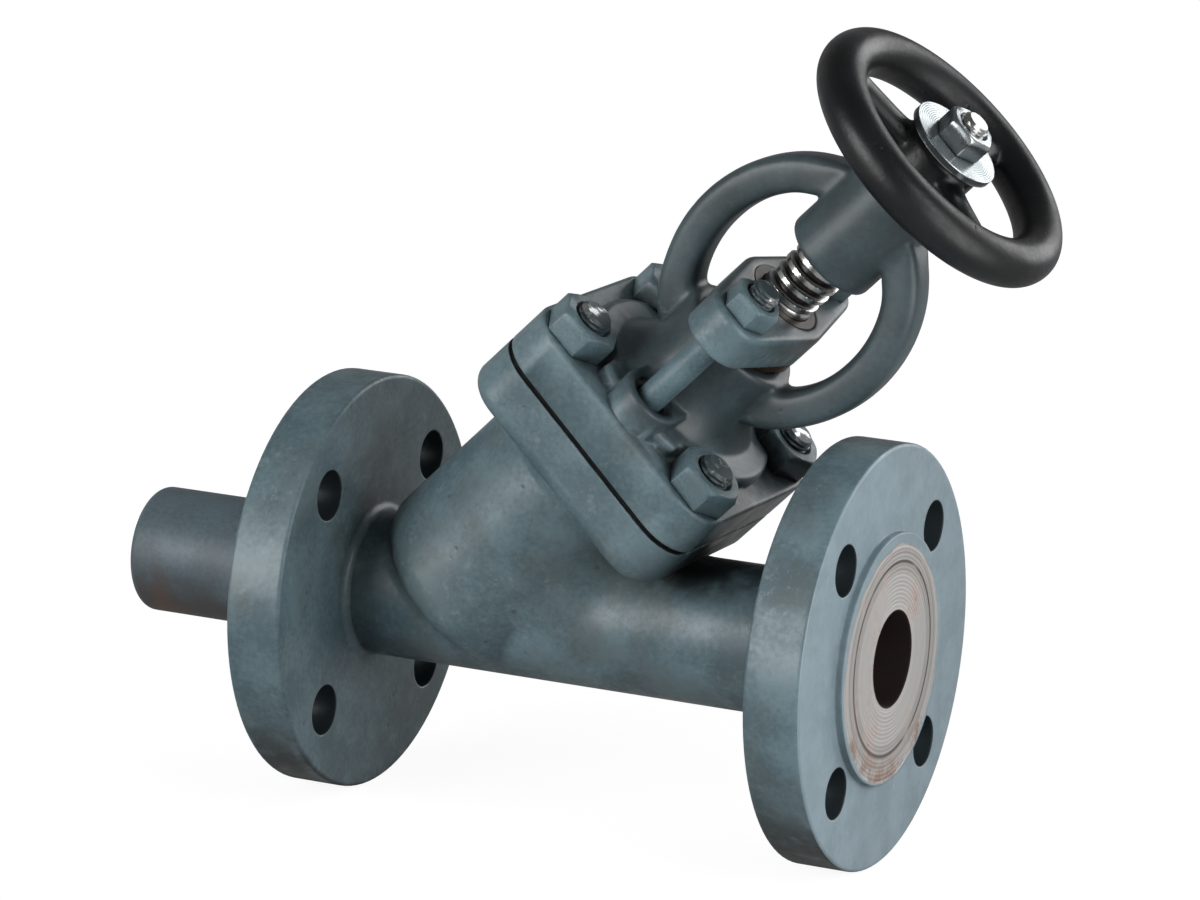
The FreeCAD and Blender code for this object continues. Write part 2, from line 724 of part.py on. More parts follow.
def gland_flange():
    """The oval flange that presses the follower down, with a round lobe about each stud."""
    waist_r = sleeve_r + gland_side_wall
    lobe_r = gland_stud_r + gland_lobe_wall
    lean = math.asin((waist_r - lobe_r) / gland_stud_offset)

    def on_circle(radius, depth, turn):
        return Vector(radius * math.cos(turn), depth + radius * math.sin(turn), gland_base)

    half_turn = math.pi
    far_right = on_circle(lobe_r, gland_stud_offset, lean)
    far_tip = on_circle(lobe_r, gland_stud_offset, half_turn / 2)
    far_left = on_circle(lobe_r, gland_stud_offset, half_turn - lean)
    waist_far_left = on_circle(waist_r, 0, half_turn - lean)
    waist_left = on_circle(waist_r, 0, half_turn)
    waist_near_left = on_circle(waist_r, 0, half_turn + lean)
    near_left = on_circle(lobe_r, -gland_stud_offset, half_turn + lean)
    near_tip = on_circle(lobe_r, -gland_stud_offset, -half_turn / 2)
    near_right = on_circle(lobe_r, -gland_stud_offset, -lean)
    waist_near_right = on_circle(waist_r, 0, -lean)
    waist_right = on_circle(waist_r, 0, 0)
    waist_far_right = on_circle(waist_r, 0, lean)
    outline = Part.Wire([Part.Arc(far_right, far_tip, far_left).toShape(),
                         Part.makeLine(far_left, waist_far_left),
                         Part.Arc(waist_far_left, waist_left, waist_near_left).toShape(),
                         Part.makeLine(waist_near_left, near_left),
                         Part.Arc(near_left, near_tip, near_right).toShape(),
                         Part.makeLine(near_right, waist_near_right),
                         Part.Arc(waist_near_right, waist_right, waist_far_right).toShape(),
                         Part.makeLine(waist_far_right, far_right)])
    plate = Part.Face(outline).extrude(Vector(0, 0, gland_thickness))
    plate = rounded_top(plate, gland_top, gland_edge)
    holes = [post(sleeve_r, gland_base, gland_top)]
    for depth in (-gland_stud_offset, gland_stud_offset):
        holes.append(post(gland_stud_r + stud_hole_clearance, gland_base, gland_top, 0, depth))
    return tilt(plate.cut(holes))


def gland_studs():
    """The two studs of the gland, screwed into the bonnet's lugs."""
    studs = []
    for depth in (-gland_stud_offset, gland_stud_offset):
        studs.append(tilt(chamfered_post(gland_stud_r, gland_stud_base, gland_stud_end, gland_stud_chamfer,
                                         0, depth)))
    return Part.makeCompound(studs)


def gland_nut(side):
    """A gland nut, free to turn on its stud. side is -1 at the front and 1 at the back."""
    return tilt(hex_nut(gland_nut_across_flats, gland_nut_height, gland_stud_r + running_clearance,
                        gland_top, 0, side * gland_stud_offset))


def yoke_bush():
    """The threaded bush in the yoke's boss, which the stem screws through."""
    collar_r = bush_r + bush_collar_width
    inside = stem_r + running_clearance
    return tilt(lathe([(inside, hub_base), (bush_r, hub_base), (bush_r, hub_top), (collar_r, hub_top),
                       (collar_r, yoke_bush_top), (inside, yoke_bush_top)]))


def yoke_bush_screw():
    """The set screw of the yoke bush."""
    return tilt(grub_screw_upright())


def spoke(number):
    """One spoke: an oval bar from the hub into the rim, narrower at the rim."""
    hub_middle = (wheel_base + wheel_top) / 2
    foot_height = hub_middle + (rim_height - hub_middle) / 3
    foot = wheel_square / 2 + wheel_hub_wall
    sections = []
    for reach, height, size in ((foot, foot_height, 1.0), (rim_mid_d / 2, rim_height, spoke_taper)):
        centre = Vector(reach, 0, height)
        wide = centre + Vector(0, spoke_width * size / 2, 0)
        thick = centre + Vector(0, 0, spoke_thickness * size / 2)
        sections.append(Part.Wire([Part.Ellipse(wide, thick, centre).toShape()]))
    bar = Part.makeLoft(sections, True)
    bar.rotate(Vector(0, 0, 0), Vector(0, 0, 1), spoke_angle + 360.0 / spoke_count * number)
    return bar


def handwheel():
    """The handwheel: a round rim, three spokes and a hub with a square hole."""
    rim = Part.makeTorus(rim_mid_d / 2, rim_section_d / 2, Vector(0, 0, rim_height))
    hub = lathe([(0, wheel_base), (wheel_hub_r, wheel_base, wheel_hub_edge),
                 (wheel_hub_r, wheel_top, wheel_hub_edge), (0, wheel_top)])
    wheel = hub.fuse([rim] + [spoke(number) for number in range(spoke_count)])
    side = wheel_square + 2 * square_clearance
    hole = Part.makeBox(side, side, wheel_hub_height, Vector(-side / 2, -side / 2, wheel_base))
    hole.rotate(Vector(0, 0, 0), Vector(0, 0, 1), spoke_angle)
    return tilt(wheel.cut(hole))


def wheel_washer():
    """The plain washer on the wheel's hub."""
    return tilt(tube(wheel_washer_d / 2, wheel_thread_r + stud_hole_clearance, wheel_top, washer_top))


def wheel_nut():
    """The nut that holds the wheel on the stem."""
    return tilt(hex_nut(wheel_nut_across_flats, wheel_nut_height, wheel_thread_r, washer_top))


pieces = {
    "valve_body": valve_body(),
    "inlet_spigot": inlet_spigot(),
    "seat_ring": seat_ring(),
    "disc": disc(),
    "disc_nut": disc_nut(),
    "disc_lock_pin": disc_lock_pin(),
    "thrust_pad": thrust_pad(),
    "stem": stem(),
    "back_seat_bush": back_seat_bush(),
    "bonnet_gasket": bonnet_gasket(),
    "bonnet_studs": bonnet_studs(),
    "bonnet_nuts": bonnet_nuts(),
    "bonnet": bonnet(),
    "packing_base_ring": packing_base_ring(),
    "packing_rings": packing_rings(),
    "gland_follower": gland_follower(),
    "gland_flange": gland_flange(),
    "gland_studs": gland_studs(),
    "gland_nut_front": gland_nut(-1),
    "gland_nut_back": gland_nut(1),
    "yoke_bush": yoke_bush(),
    "yoke_bush_screw": yoke_bush_screw(),
    "handwheel": handwheel(),
    "wheel_washer": wheel_washer(),
    "wheel_nut": wheel_nut(),
}

os.makedirs("parts", exist_ok=True)
for name, shape in pieces.items():
    box = shape.BoundBox
    print(name, len(shape.Solids), "solids, valid:", shape.isValid(), "volume %.0f" % shape.Volume,
          "x %.1f to %.1f, y %.1f to %.1f, z %.1f to %.1f"
          % (box.XMin, box.XMax, box.YMin, box.YMax, box.ZMin, box.ZMax))
    shape.exportStep("parts/" + name + ".step")
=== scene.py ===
# %% [markdown]
# # Boiler discharge valve
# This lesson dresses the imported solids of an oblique, flanged valve. The solids give every
# place and size. What a solid leaves out is made here: threads, softened castings, rounded
# nuts, paint, bare machined steel, grease and dust. Shapes are worked out in millimetres and
# turned into metres once, when the points become a mesh. Materials are in metres, as Blender is.

# %% Load the frame
import bmesh
import bpy
import numpy as np
from mathutils import Matrix, Vector


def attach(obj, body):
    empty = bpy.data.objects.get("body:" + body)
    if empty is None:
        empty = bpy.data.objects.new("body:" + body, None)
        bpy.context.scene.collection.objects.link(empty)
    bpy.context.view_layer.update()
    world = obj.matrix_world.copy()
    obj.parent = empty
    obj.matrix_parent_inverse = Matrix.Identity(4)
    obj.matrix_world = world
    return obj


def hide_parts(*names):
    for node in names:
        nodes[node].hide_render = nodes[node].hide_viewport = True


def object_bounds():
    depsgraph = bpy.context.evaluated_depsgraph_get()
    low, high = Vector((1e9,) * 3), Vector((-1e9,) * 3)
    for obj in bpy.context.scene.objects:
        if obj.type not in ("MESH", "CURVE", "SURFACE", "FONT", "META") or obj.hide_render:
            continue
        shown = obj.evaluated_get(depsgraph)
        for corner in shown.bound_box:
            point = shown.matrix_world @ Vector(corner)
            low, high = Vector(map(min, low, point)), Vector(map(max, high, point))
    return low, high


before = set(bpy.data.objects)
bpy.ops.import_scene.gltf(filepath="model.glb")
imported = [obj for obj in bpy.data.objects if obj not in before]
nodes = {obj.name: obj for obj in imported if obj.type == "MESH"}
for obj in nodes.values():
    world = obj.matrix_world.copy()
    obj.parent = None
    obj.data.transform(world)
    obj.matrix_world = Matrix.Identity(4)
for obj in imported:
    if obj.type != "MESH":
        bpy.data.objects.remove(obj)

scene = bpy.context.scene
cad_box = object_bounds()
print("solids:", len(nodes), "box in mm:", *([round(1000 * v) for v in end] for end in cad_box))

# %% [markdown]
# The stem leans 45 degrees from upright towards the outlet, and the bonnet, yoke, gland and
# wheel all sit square on it. Working in a frame that leans with the stem keeps each formula
# short: across the stem, in depth, and along it.

# %% The stem's own frame
LEAN = np.sqrt(0.5)
STEM_FOOT = np.array([43.0, 0.0, 0.0])
ACROSS = np.array([LEAN, 0.0, -LEAN])
DEPTH = np.array([0.0, 1.0, 0.0])
ALONG = np.array([LEAN, 0.0, LEAN])
STEM_AXES = np.stack([ACROSS, DEPTH, ALONG])


def off_stem(points):
    """Carries points from the stem's frame (across, depth, along) to the part's frame.

    A point is the stem's foot plus each coordinate times its axis."""
    return STEM_FOOT + points @ STEM_AXES


def onto_stem(points):
    """The way back: the part's frame to the stem's frame."""
    return (points - STEM_FOOT) @ STEM_AXES.T


def points_of(mesh):
    """The places of a mesh's points, in millimetres."""
    flat = np.empty(len(mesh.vertices) * 3)
    mesh.vertices.foreach_get("co", flat)
    return flat.reshape(-1, 3) * 1000


def place_points(mesh, points):
    """Puts the points of a mesh at places in millimetres."""
    mesh.vertices.foreach_set("co", (points / 1000).ravel())
    mesh.update()


def stem_span(name):
    """Lowest and highest height of a node along the stem."""
    heights = onto_stem(points_of(nodes[name].data))[:, 2]
    return heights.min(), heights.max()


for name in ("bonnet", "gland_flange", "yoke_bush", "handwheel", "wheel_washer", "wheel_nut", "stem"):
    print(name, "from %.1f to %.1f mm along the stem" % stem_span(name))

# %% [markdown]
# The camera was fitted to the outlines in the photograph. It stands to the front and right,
# a little above the pipe, far away behind a long lens, so that the flanges look almost the
# same size.

# %% Camera
AZIMUTH, ELEVATION, ROLL = np.radians([25.14, 12.65, 2.04])
DISTANCE, SIDEWAYS, UPWARDS = 1523.71, -37.33, -40.64
SENSOR, FRAME_PIXELS, FOCAL_PIXELS = 36.0, 1200.0, 5545.60
right = np.array([np.cos(AZIMUTH), np.sin(AZIMUTH), 0.0])
toward = np.array([np.sin(AZIMUTH) * np.cos(ELEVATION), -np.cos(AZIMUTH) * np.cos(ELEVATION),
                   np.sin(ELEVATION)])
up = np.cross(toward, right)
place = DISTANCE * toward - SIDEWAYS * right - UPWARDS * up + STEM_FOOT
rolled_right = np.cos(ROLL) * right + np.sin(ROLL) * up
rolled_up = np.cos(ROLL) * up - np.sin(ROLL) * right
camera = bpy.data.objects.new("camera", bpy.data.cameras.new("camera"))
camera.data.sensor_width = SENSOR
camera.data.lens = SENSOR * FOCAL_PIXELS / FRAME_PIXELS
camera.data.clip_end = 20.0
camera.matrix_world = Matrix([[rolled_right[i], rolled_up[i], toward[i], place[i] / 1000] for i in range(3)]
                             + [[0, 0, 0, 1]])
scene.collection.objects.link(camera)
scene.camera = camera
scene.view_settings.view_transform = "Standard"
print("camera at", [round(v) for v in place], "mm, lens %.1f mm" % camera.data.lens)

# %% [markdown]
# Most new pieces are one closed sheet of points: rows follow the piece along, and columns run
# once round it. The helpers below turn such sheets into a mesh. They number the faces with
# whole arrays, join points that lie together, see that the faces point outwards, and keep
# edges sharp where the surface really bends.

# %% From sheets of points to meshes
def sheet_faces(rows, columns, first=0):
    """Four-sided faces of a sheet that closes round its columns.

    Face (i, j) joins points (i, j), (i, j+1), (i+1, j+1) and (i+1, j), with j+1 taken round."""
    index = first + np.arange(rows * columns).reshape(rows, columns)
    low, high = index[:-1], index[1:]
    return np.stack([low, np.roll(low, -1, 1), np.roll(high, -1, 1), high], -1).reshape(-1, 4)


def closed_rows(sheet):
    """Repeats the first row after the last one, so that a ring's profile closes on itself."""
    return np.concatenate([sheet, sheet[:1]])


def volume_of(mesh):
    """Signed volume: each triangle and the origin span a sixth of a box, taken with its sign."""
    mesh.calc_loop_triangles()
    corners = np.empty(len(mesh.loop_triangles) * 3, int)
    mesh.loop_triangles.foreach_get("vertices", corners)
    a, b, c = np.moveaxis(points_of(mesh)[corners.reshape(-1, 3)], 1, 0)
    return np.einsum("ij,ij->i", a, np.cross(b, c)).sum() / 6


def merge(mesh, distance):
    """Joins points that lie together, and counts the edges that haven't two faces."""
    work = bmesh.new()
    work.from_mesh(mesh)
    bmesh.ops.remove_doubles(work, verts=work.verts, dist=distance)
    open_edges = sum(len(edge.link_faces) != 2 for edge in work.edges)
    work.to_mesh(mesh)
    work.free()
    return open_edges


def mesh_of(name, sheets, sharp_angle=35.0):
    """One mesh from sheets of points: closed, facing outwards, smooth up to an angle."""
    sizes = [sheet.shape[:2] for sheet in sheets]
    firsts = np.cumsum([0] + [rows * columns for rows, columns in sizes])
    faces = [sheet_faces(*size, first) for size, first in zip(sizes, firsts)]
    points = np.concatenate([sheet.reshape(-1, 3) / 1000 for sheet in sheets])
    mesh = bpy.data.meshes.new(name)
    mesh.from_pydata(points.tolist(), [], np.concatenate(faces).tolist())
    open_edges = merge(mesh, 1e-7)
    if volume_of(mesh) < 0:
        mesh.flip_normals()
    mesh.shade_smooth()
    mesh.set_sharp_from_angle(angle=np.radians(sharp_angle))
    print("%s: %d faces, %d open edges, %.0f mm3" % (name, len(mesh.polygons), open_edges, volume_of(mesh)))
    return mesh


def add_piece(name, mesh, body, stands_for=None, slot=None):
    """Puts a finished mesh in the scene, riding on a body and standing for a node."""
    piece = bpy.data.objects.new(name, mesh)
    scene.collection.objects.link(piece)
    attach(piece, body)
    if stands_for:
        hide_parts(stands_for)
    return piece


def add_sheets(name, sheets, sharp_angle, *facts):
    """A piece straight from its sheets of points."""
    return add_piece(name, mesh_of(name, sheets, sharp_angle), *facts)


# %% [markdown]
# A turned piece is a profile carried round an axis. Everything on this valve that screws or
# turns starts from the same rule: a radius that depends on the angle and on the height. A
# thread is that radius going up and down as the height runs ahead of the angle.

# %% Turned surfaces
def full_turn(columns):
    """Even angles once round, without the last, which would be the first again."""
    return np.linspace(0, 2 * np.pi, columns, endpoint=False)


def turned(radius, height, columns, across=0.0, depth=0.0):
    """Points of a turned surface in the part's frame.

    radius and height hold one value for each row, or rows by columns. A point lies at
    (across + r cos a, depth + r sin a, h) in the stem's frame, with a the column's angle."""
    angle, rows = full_turn(columns), len(height)
    radius, height = (np.broadcast_to(np.asarray(values, float).reshape(rows, -1), (rows, columns))
                      for values in (radius, height))
    return off_stem(np.stack([across + radius * np.cos(angle), depth + radius * np.sin(angle), height], -1))


def smooth_step(value, start, end):
    """0 before start, 1 after end, and 3 t^2 - 2 t^3 between them."""
    t = np.clip((value - start) / (end - start), 0, 1)
    return t * t * (3 - 2 * t)


# %% Threads
COARSE, FINE = (0.19, 0.13), (0.06, 0.30)


def thread_dip(height, columns, pitch, shape):
    """How far into the thread's groove each point is, from 0 on the crest to 1 at the root.

    The phase is height / pitch - angle / full turn, which makes the helix right-handed. The
    groove's middle is at phase one half. shape is half the width of its flat floor and the
    width of a straight flank, as shares of the pitch."""
    floor, flank = shape
    phase = (height[:, None] / pitch - full_turn(columns)[None, :] / (2 * np.pi)) % 1.0
    return 1 - np.clip((np.abs(phase - 0.5) - floor) / flank, 0, 1)


def threaded_rod(radius, pitch, groove, span, chamfer, across=0.0, depth=0.0, columns=40):
    """A rod with a fine thread on its upper 12 mm, and both ends chamfered.

    Its radius is the smallest of the thread's radius and the two 45 degree end cones."""
    base, top = span
    start = top - 12
    steps = int(np.ceil((top - start) / (pitch / 7)))
    height = np.concatenate([np.linspace(base, start, 8)[:-1], np.linspace(start, top, steps)])
    dip = thread_dip(height, columns, pitch, FINE) * smooth_step(height, start, start + 2 * pitch)[:, None]
    cone = radius - chamfer + np.minimum(height - base, top - height)
    shape = np.minimum(radius - groove * dip, cone[:, None])
    pole = np.zeros((1, columns))
    return turned(np.concatenate([pole, shape, pole]), np.concatenate([[base], height, [top]]),
                  columns, across, depth)


full_depth = thread_dip(np.linspace(0, 4, 400), 1, 4.0, COARSE) == 1
print("a groove is full depth over %.0f %% of its pitch" % (100 * full_depth.mean()))

# %% [markdown]
# The stem is the one bright, moving piece of the valve, and its thread can be seen between the
# gland and the yoke. It is a coarse trapezoidal thread with a 4 mm lead. A plain cylinder with a
# striped bump would have a straight outline, so the thread is cut into the surface itself.

# %% Stem: shank and thread
STEM_R, STEM_ROOT_R, STEM_LEAD, STEM_COLUMNS = 8.0, 6.0, 4.0, 112
NECK_R, HEAD_R, COLLAR_R = 6.5, 10.6, 11.0
HUB_HEIGHT = 12.5
stem_base, stem_top = stem_span("stem")
wheel_top = stem_span("wheel_washer")[0]
wheel_base = wheel_top - HUB_HEIGHT
THREAD_START, THREAD_END = 133.5, wheel_base - 1.5

# Radius and height, row by row: head in the plug, neck, shank, collar of the back seat, shank.
shank = np.array([[0, stem_base], [HEAD_R - 1, stem_base], [HEAD_R, stem_base + 1], [HEAD_R, stem_base + 6],
                  [NECK_R, stem_base + 6], [NECK_R, 29.0], [STEM_R, 30.0], [STEM_R, 52.9],
                  [COLLAR_R, 55.9], [COLLAR_R, 60.9], [STEM_R, 60.9], [STEM_R, 100.0],
                  [STEM_R, THREAD_START - 2.0]])
cut_height = np.arange(THREAD_START - 1.8, THREAD_END + 0.3, 0.13)
cut_share = (smooth_step(cut_height, THREAD_START, THREAD_START + 3)
             * (1 - smooth_step(cut_height, THREAD_END - 1, THREAD_END)))
cut = cut_share[:, None] * thread_dip(cut_height, STEM_COLUMNS, STEM_LEAD, COARSE)
cut_radius = STEM_R - (STEM_R - STEM_ROOT_R) * cut
print("turns of the stem's thread:", round((THREAD_END - THREAD_START) / STEM_LEAD, 1))

# %% [markdown]
# Above the thread a square carries the wheel, and a fine thread above that takes the wheel's nut.
# The square's side is half its width over the larger of cosine and sine of the angle.

# %% Stem: square and threaded end
SQUARE_HALF, SPOKE_DEGREES = 5.0, 205.0
END_R, END_PITCH, END_GROOVE = 4.0, 1.25, 0.55
from_side = full_turn(STEM_COLUMNS) - np.radians(SPOKE_DEGREES)
square = SQUARE_HALF / np.maximum(np.abs(np.cos(from_side)), np.abs(np.sin(from_side)))[None]
end_height = np.linspace(wheel_top - 0.2, stem_top, 70)
end_cone = END_R - 1 + (stem_top - end_height)[:, None]
end_radius = np.minimum(END_R - END_GROOVE * thread_dip(end_height, STEM_COLUMNS, END_PITCH, FINE), end_cone)


def round_rows(radii):
    """Rows that have one radius all round."""
    return np.repeat(np.asarray(radii, float)[:, None], STEM_COLUMNS, 1)


stem_radius = np.concatenate([round_rows(shank[:, 0]), cut_radius, round_rows([STEM_R, STEM_R - 1]),
                              square, square, end_radius, round_rows([0])])
stem_height = np.concatenate([shank[:, 1], cut_height, [wheel_base - 1, wheel_base], [wheel_base],
                              [wheel_top - 0.2], end_height, [stem_top]])
threaded_stem = add_sheets("threaded_stem", [turned(stem_radius, stem_height, STEM_COLUMNS)], 30,
                           "spindle", "stem", "stem_steel")

# %% [markdown]
# Studs hold the bonnet and the gland. Only their ends show, but a stud end with real turns of
# thread and a small cone on it reads as a fastener, while a bare cylinder reads as a peg.

# %% Studs
RUN_R, BRANCH_R = 20.0, 29.0
STUD_R, STUD_CLEARANCE = 5.0, 2.8
STUD_OFFSET = (BRANCH_R + STUD_R + STUD_CLEARANCE) / np.sqrt(2)
GLAND_STUD_R, GLAND_STUD_OFFSET = 4.0, 26.5
corners = [(STUD_OFFSET * i, STUD_OFFSET * j) for i in (-1, 1) for j in (-1, 1)]
stud_sheets = [threaded_rod(STUD_R, 1.5, 0.75, stem_span("bonnet_studs"), 1.0, *corner) for corner in corners]
bonnet_studs = add_sheets("threaded_bonnet_studs", stud_sheets, 40, "casing", "bonnet_studs", "stud_steel")
gland_sheets = [threaded_rod(GLAND_STUD_R, 1.25, 0.6, stem_span("gland_studs"), 0.8, 0, depth)
                for depth in (-GLAND_STUD_OFFSET, GLAND_STUD_OFFSET)]
gland_studs = add_sheets("threaded_gland_studs", gland_sheets, 40, "casing", "gland_studs", "stud_steel")

# %% [markdown]
# A nut is a hexagon whose upper corners a lathe has turned off at 30 degrees, which leaves an
# arc on every flat. As a surface of angle and height that is one rule: the side stands at the
# hexagon's radius, and the top falls away outside the circle that fits in the flats. Paint and
# forging round its corners a little.

# %% Nuts
def hexagon_radius(angle, across_flats, rounding):
    """Distance from a hexagon's middle to its side, with rounded corners.

    Each side is half the width across flats over the cosine of the angle from its middle. The
    soft minimum of the six distances, a power mean, rounds the corners off."""
    turns = angle[:, None] - np.radians(60) * np.arange(6)[None, :] - np.radians(30)
    reach = np.maximum(np.cos(turns), 1e-3) / (across_flats / 2)
    return (reach ** (1 / rounding)).sum(1) ** -rounding


def nut(across_flats, height, hole_r, base, across=0.0, depth=0.0, columns=96, edge=0.35):
    """A closed nut: rows of radius and height from its bore, under its foot, up its side and over its top.

    The top falls by the tangent of 30 degrees times the distance outside the crown's circle."""
    side = hexagon_radius(full_turn(columns), across_flats, 0.012)
    crown, mouth, slope = across_flats / 2 * 0.985, 0.2 * hole_r, np.tan(np.radians(30))
    brink = height - np.maximum(side - crown, 0) * slope
    rows = [(hole_r, mouth), (hole_r + mouth, 0), (side - edge, 0),
            (side - edge * 0.3, edge * 0.3), (side, edge)]
    rows += [(side, edge + (brink - 2 * edge) * share) for share in (0.35, 0.7, 1.0)]
    rows += [(side - edge * 0.35, brink - edge * 0.4), (side - edge, brink + edge * slope * 0.4)]
    for share in (0.5, 1.0):
        ring = side - edge + (crown * 0.99 - side + edge) * share
        rows.append((np.minimum(ring, side - edge), height - np.maximum(ring - crown, 0) * slope))
    rows += [(hole_r + mouth, height), (hole_r, height - mouth)]
    radius, level = np.array([np.broadcast_arrays(*row, side)[:2] for row in rows]).swapaxes(0, 1)
    return closed_rows(turned(radius, level + base, columns, across, depth))


bonnet_nuts = add_sheets("softened_bonnet_nuts",
                         [nut(17.0, 8.0, STUD_R, stem_span("bonnet_nuts")[0], *corner) for corner in corners],
                         32, "casing", "bonnet_nuts", "enamelled_nut")
gland_top = stem_span("gland_nut_front")[0]
gland_nuts = [add_sheets("softened_gland_nut_" + name,
                         [nut(13.0, 6.5, 4.05, gland_top, 0, side * GLAND_STUD_OFFSET)],
                         32, name + "_nut", "gland_nut_" + name, "enamelled_nut")
              for side, name in ((-1, "front"), (1, "back"))]
wheel_nut = add_sheets("softened_wheel_nut", [nut(13.0, 6.5, END_R, stem_span("wheel_nut")[0])],
                       32, "spindle", "wheel_nut", "bright_steel")

# %% [markdown]
# Castings have no sharp inside corners: metal wouldn't fill them, and sand would wash away. Where
# several solids meet, as in the bonnet, the softening is easiest on the finished shape. A copy is
# rebuilt from small cubes in the stem's frame, and each point then moves a little towards its
# neighbours and a little back, many times. The step back keeps the casting from shrinking.

# %% Softening a casting
STEP_IN, STEP_BACK = 0.50, 0.48


def neighbour_mean(points, edges):
    """The mean place of each point's neighbours: sums over both ends of every edge, over their count."""
    ends = np.concatenate([edges, edges[:, ::-1]])
    count = np.bincount(ends[:, 0], minlength=len(points))[:, None]
    sums = np.stack([np.bincount(ends[:, 0], points[ends[:, 1], k], len(points)) for k in range(3)], -1)
    return sums / np.maximum(count, 1)


def soften(points, edges, passes, share_of):
    """Low-pass smoothing: a step towards the neighbours' mean, then one back on every second pass.

    share_of(points, number) gives, between 0 and 1, how much of the pass of that number a point takes."""
    for number in range(passes):
        share = share_of(points, number)[:, None]
        points = points + STEP_IN * share * (neighbour_mean(points, edges) - points)
        if number % 2:
            points = points - STEP_BACK * share * (neighbour_mean(points, edges) - points)
    return points


def rebuilt(name, mesh, cube, passes, share_of):
    """A softened copy of a closed mesh: rebuilt from cubes in the stem's frame, smoothed, carried back."""
    source = bpy.data.objects.new(name, mesh)
    scene.collection.objects.link(source)
    place_points(mesh, onto_stem(points_of(mesh)))
    cubes = source.modifiers.new("cubes", "REMESH")
    cubes.mode = "VOXEL"
    cubes.voxel_size = cube / 1000
    cubes.use_smooth_shade = True
    result = bpy.data.meshes.new_from_object(source.evaluated_get(bpy.context.evaluated_depsgraph_get()))
    bpy.data.objects.remove(source)
    edges = np.empty(len(result.edges) * 2, int)
    result.edges.foreach_get("vertices", edges)
    place_points(result, off_stem(soften(points_of(result), edges.reshape(-1, 2), passes, share_of)))
    result.name = name
    result.shade_smooth()
    print("%s: %d faces, %.0f mm3" % (name, len(result.polygons), volume_of(result)))
    return result


def merged_copy(node):
    """A copy of a node's mesh with its loose triangles joined."""
    mesh = nodes[node].data.copy()
    merge(mesh, 1e-6)
    return mesh


# %% [markdown]
# The bonnet carries the eye: a square flange, a round platform, lugs, the stuffing box and the
# oval yoke run into each other. Its joint face and the seat of the gland are machined, so the
# softening fades out there. Each fade is a pair: where it starts and where it is full.

# %% Bonnet: where it is softened
JOINT_HEIGHTS, BORE_RADII = (76.6, 79.0), (13.2, 14.5)
BOSS_HEIGHTS, BOSS_RADII = (140, 148), (10.6, 11.6)
YOKE_HEIGHTS, YOKE_RADII = (106.0, 118.0), (15.5, 20.0)
SEAM, LIGHT_PASSES = 105.5, 2


def bonnet_share(points, number):
    """Two passes for the flange, lugs and neck, and many more for the yoke's band above them.

    The joint face, the bores and the boss keep their machined shape."""
    radius = np.hypot(points[:, 0], points[:, 1])
    height = points[:, 2]
    boss = smooth_step(height, *BOSS_HEIGHTS) * smooth_step(radius, *BOSS_RADII)
    bores = np.clip(smooth_step(radius, *BORE_RADII) + boss, 0, 1)
    share = smooth_step(height, *JOINT_HEIGHTS) * bores * 0.9 + 0.1
    if number < LIGHT_PASSES:
        return share
    return share * smooth_step(height, *YOKE_HEIGHTS) * smooth_step(radius, *YOKE_RADII)


# %% [markdown]
# Cubes blur the flat faces of the flange, and these need no softening. So the bonnet is put
# together from two halves: the solid's own mesh below a seam in the neck, and the softened copy
# above it. Each half is cut by a plane square to the stem and gets a cap.

# %% Bonnet: two halves
def part_beyond(mesh, height, side):
    """Keeps what lies below (side -1) or above (side 1) a height along the stem, and caps the cut."""
    work = bmesh.new()
    work.from_mesh(mesh)
    foot = off_stem(np.array([0.0, 0.0, height])) / 1000
    cut = bmesh.ops.bisect_plane(work, geom=work.verts[:] + work.edges[:] + work.faces[:], dist=1e-7,
                                 plane_co=foot, plane_no=ALONG, clear_outer=side < 0, clear_inner=side > 0)
    rim = [item for item in cut["geom_cut"] if isinstance(item, bmesh.types.BMEdge)]
    bmesh.ops.triangle_fill(work, use_beauty=True, edges=rim)
    bmesh.ops.recalc_face_normals(work, faces=work.faces)
    work.to_mesh(mesh)
    open_edges = sum(len(edge.link_faces) != 2 for edge in work.edges)
    print("%s: %d faces, %d open edges" % (mesh.name, len(work.faces), open_edges))
    work.free()
    return mesh


def joined(name, meshes):
    """One mesh out of several closed ones."""
    work = bmesh.new()
    for mesh in meshes:
        work.from_mesh(mesh)
    result = bpy.data.meshes.new(name)
    work.to_mesh(result)
    work.free()
    return result


upper_half = part_beyond(rebuilt("upper_bonnet", merged_copy("bonnet"), 0.6, 90, bonnet_share), SEAM, 1)
lower_half = part_beyond(merged_copy("bonnet"), SEAM, -1)
lower_half.shade_smooth()
lower_half.set_sharp_from_angle(angle=np.radians(28))
bonnet = add_piece("softened_bonnet", joined("softened_bonnet", [lower_half, upper_half]),
                   "casing", "bonnet", "enamelled_casting")
bonnet.modifiers.new("flat faces stay flat", "WEIGHTED_NORMAL").keep_sharp = True

# %% [markdown]
# The gland flange is a small forging with a lobe about each stud. It gets the same softening, a
# little finer, because its edges are small.

# %% Gland flange
def gland_share(points, number):
    """Less softening on the underside, which is machined to sit on the follower's collar."""
    return 0.3 + 0.7 * smooth_step(points[:, 2], 121.5, 124.0)


gland_flange = add_piece("softened_gland_flange",
                         rebuilt("softened_gland_flange", merged_copy("gland_flange"), 0.4, 8, gland_share),
                         "gland", "gland_flange", "enamelled_casting")

# %% [markdown]
# Where the leaning branch leaves the run, the pattern has no corner but a broad web. Two distances
# describe it: from the run's skin and from the branch's. A soft minimum of the two draws the
# surface outwards wherever both are small.

# %% Web: the surface
WEB = 11.0


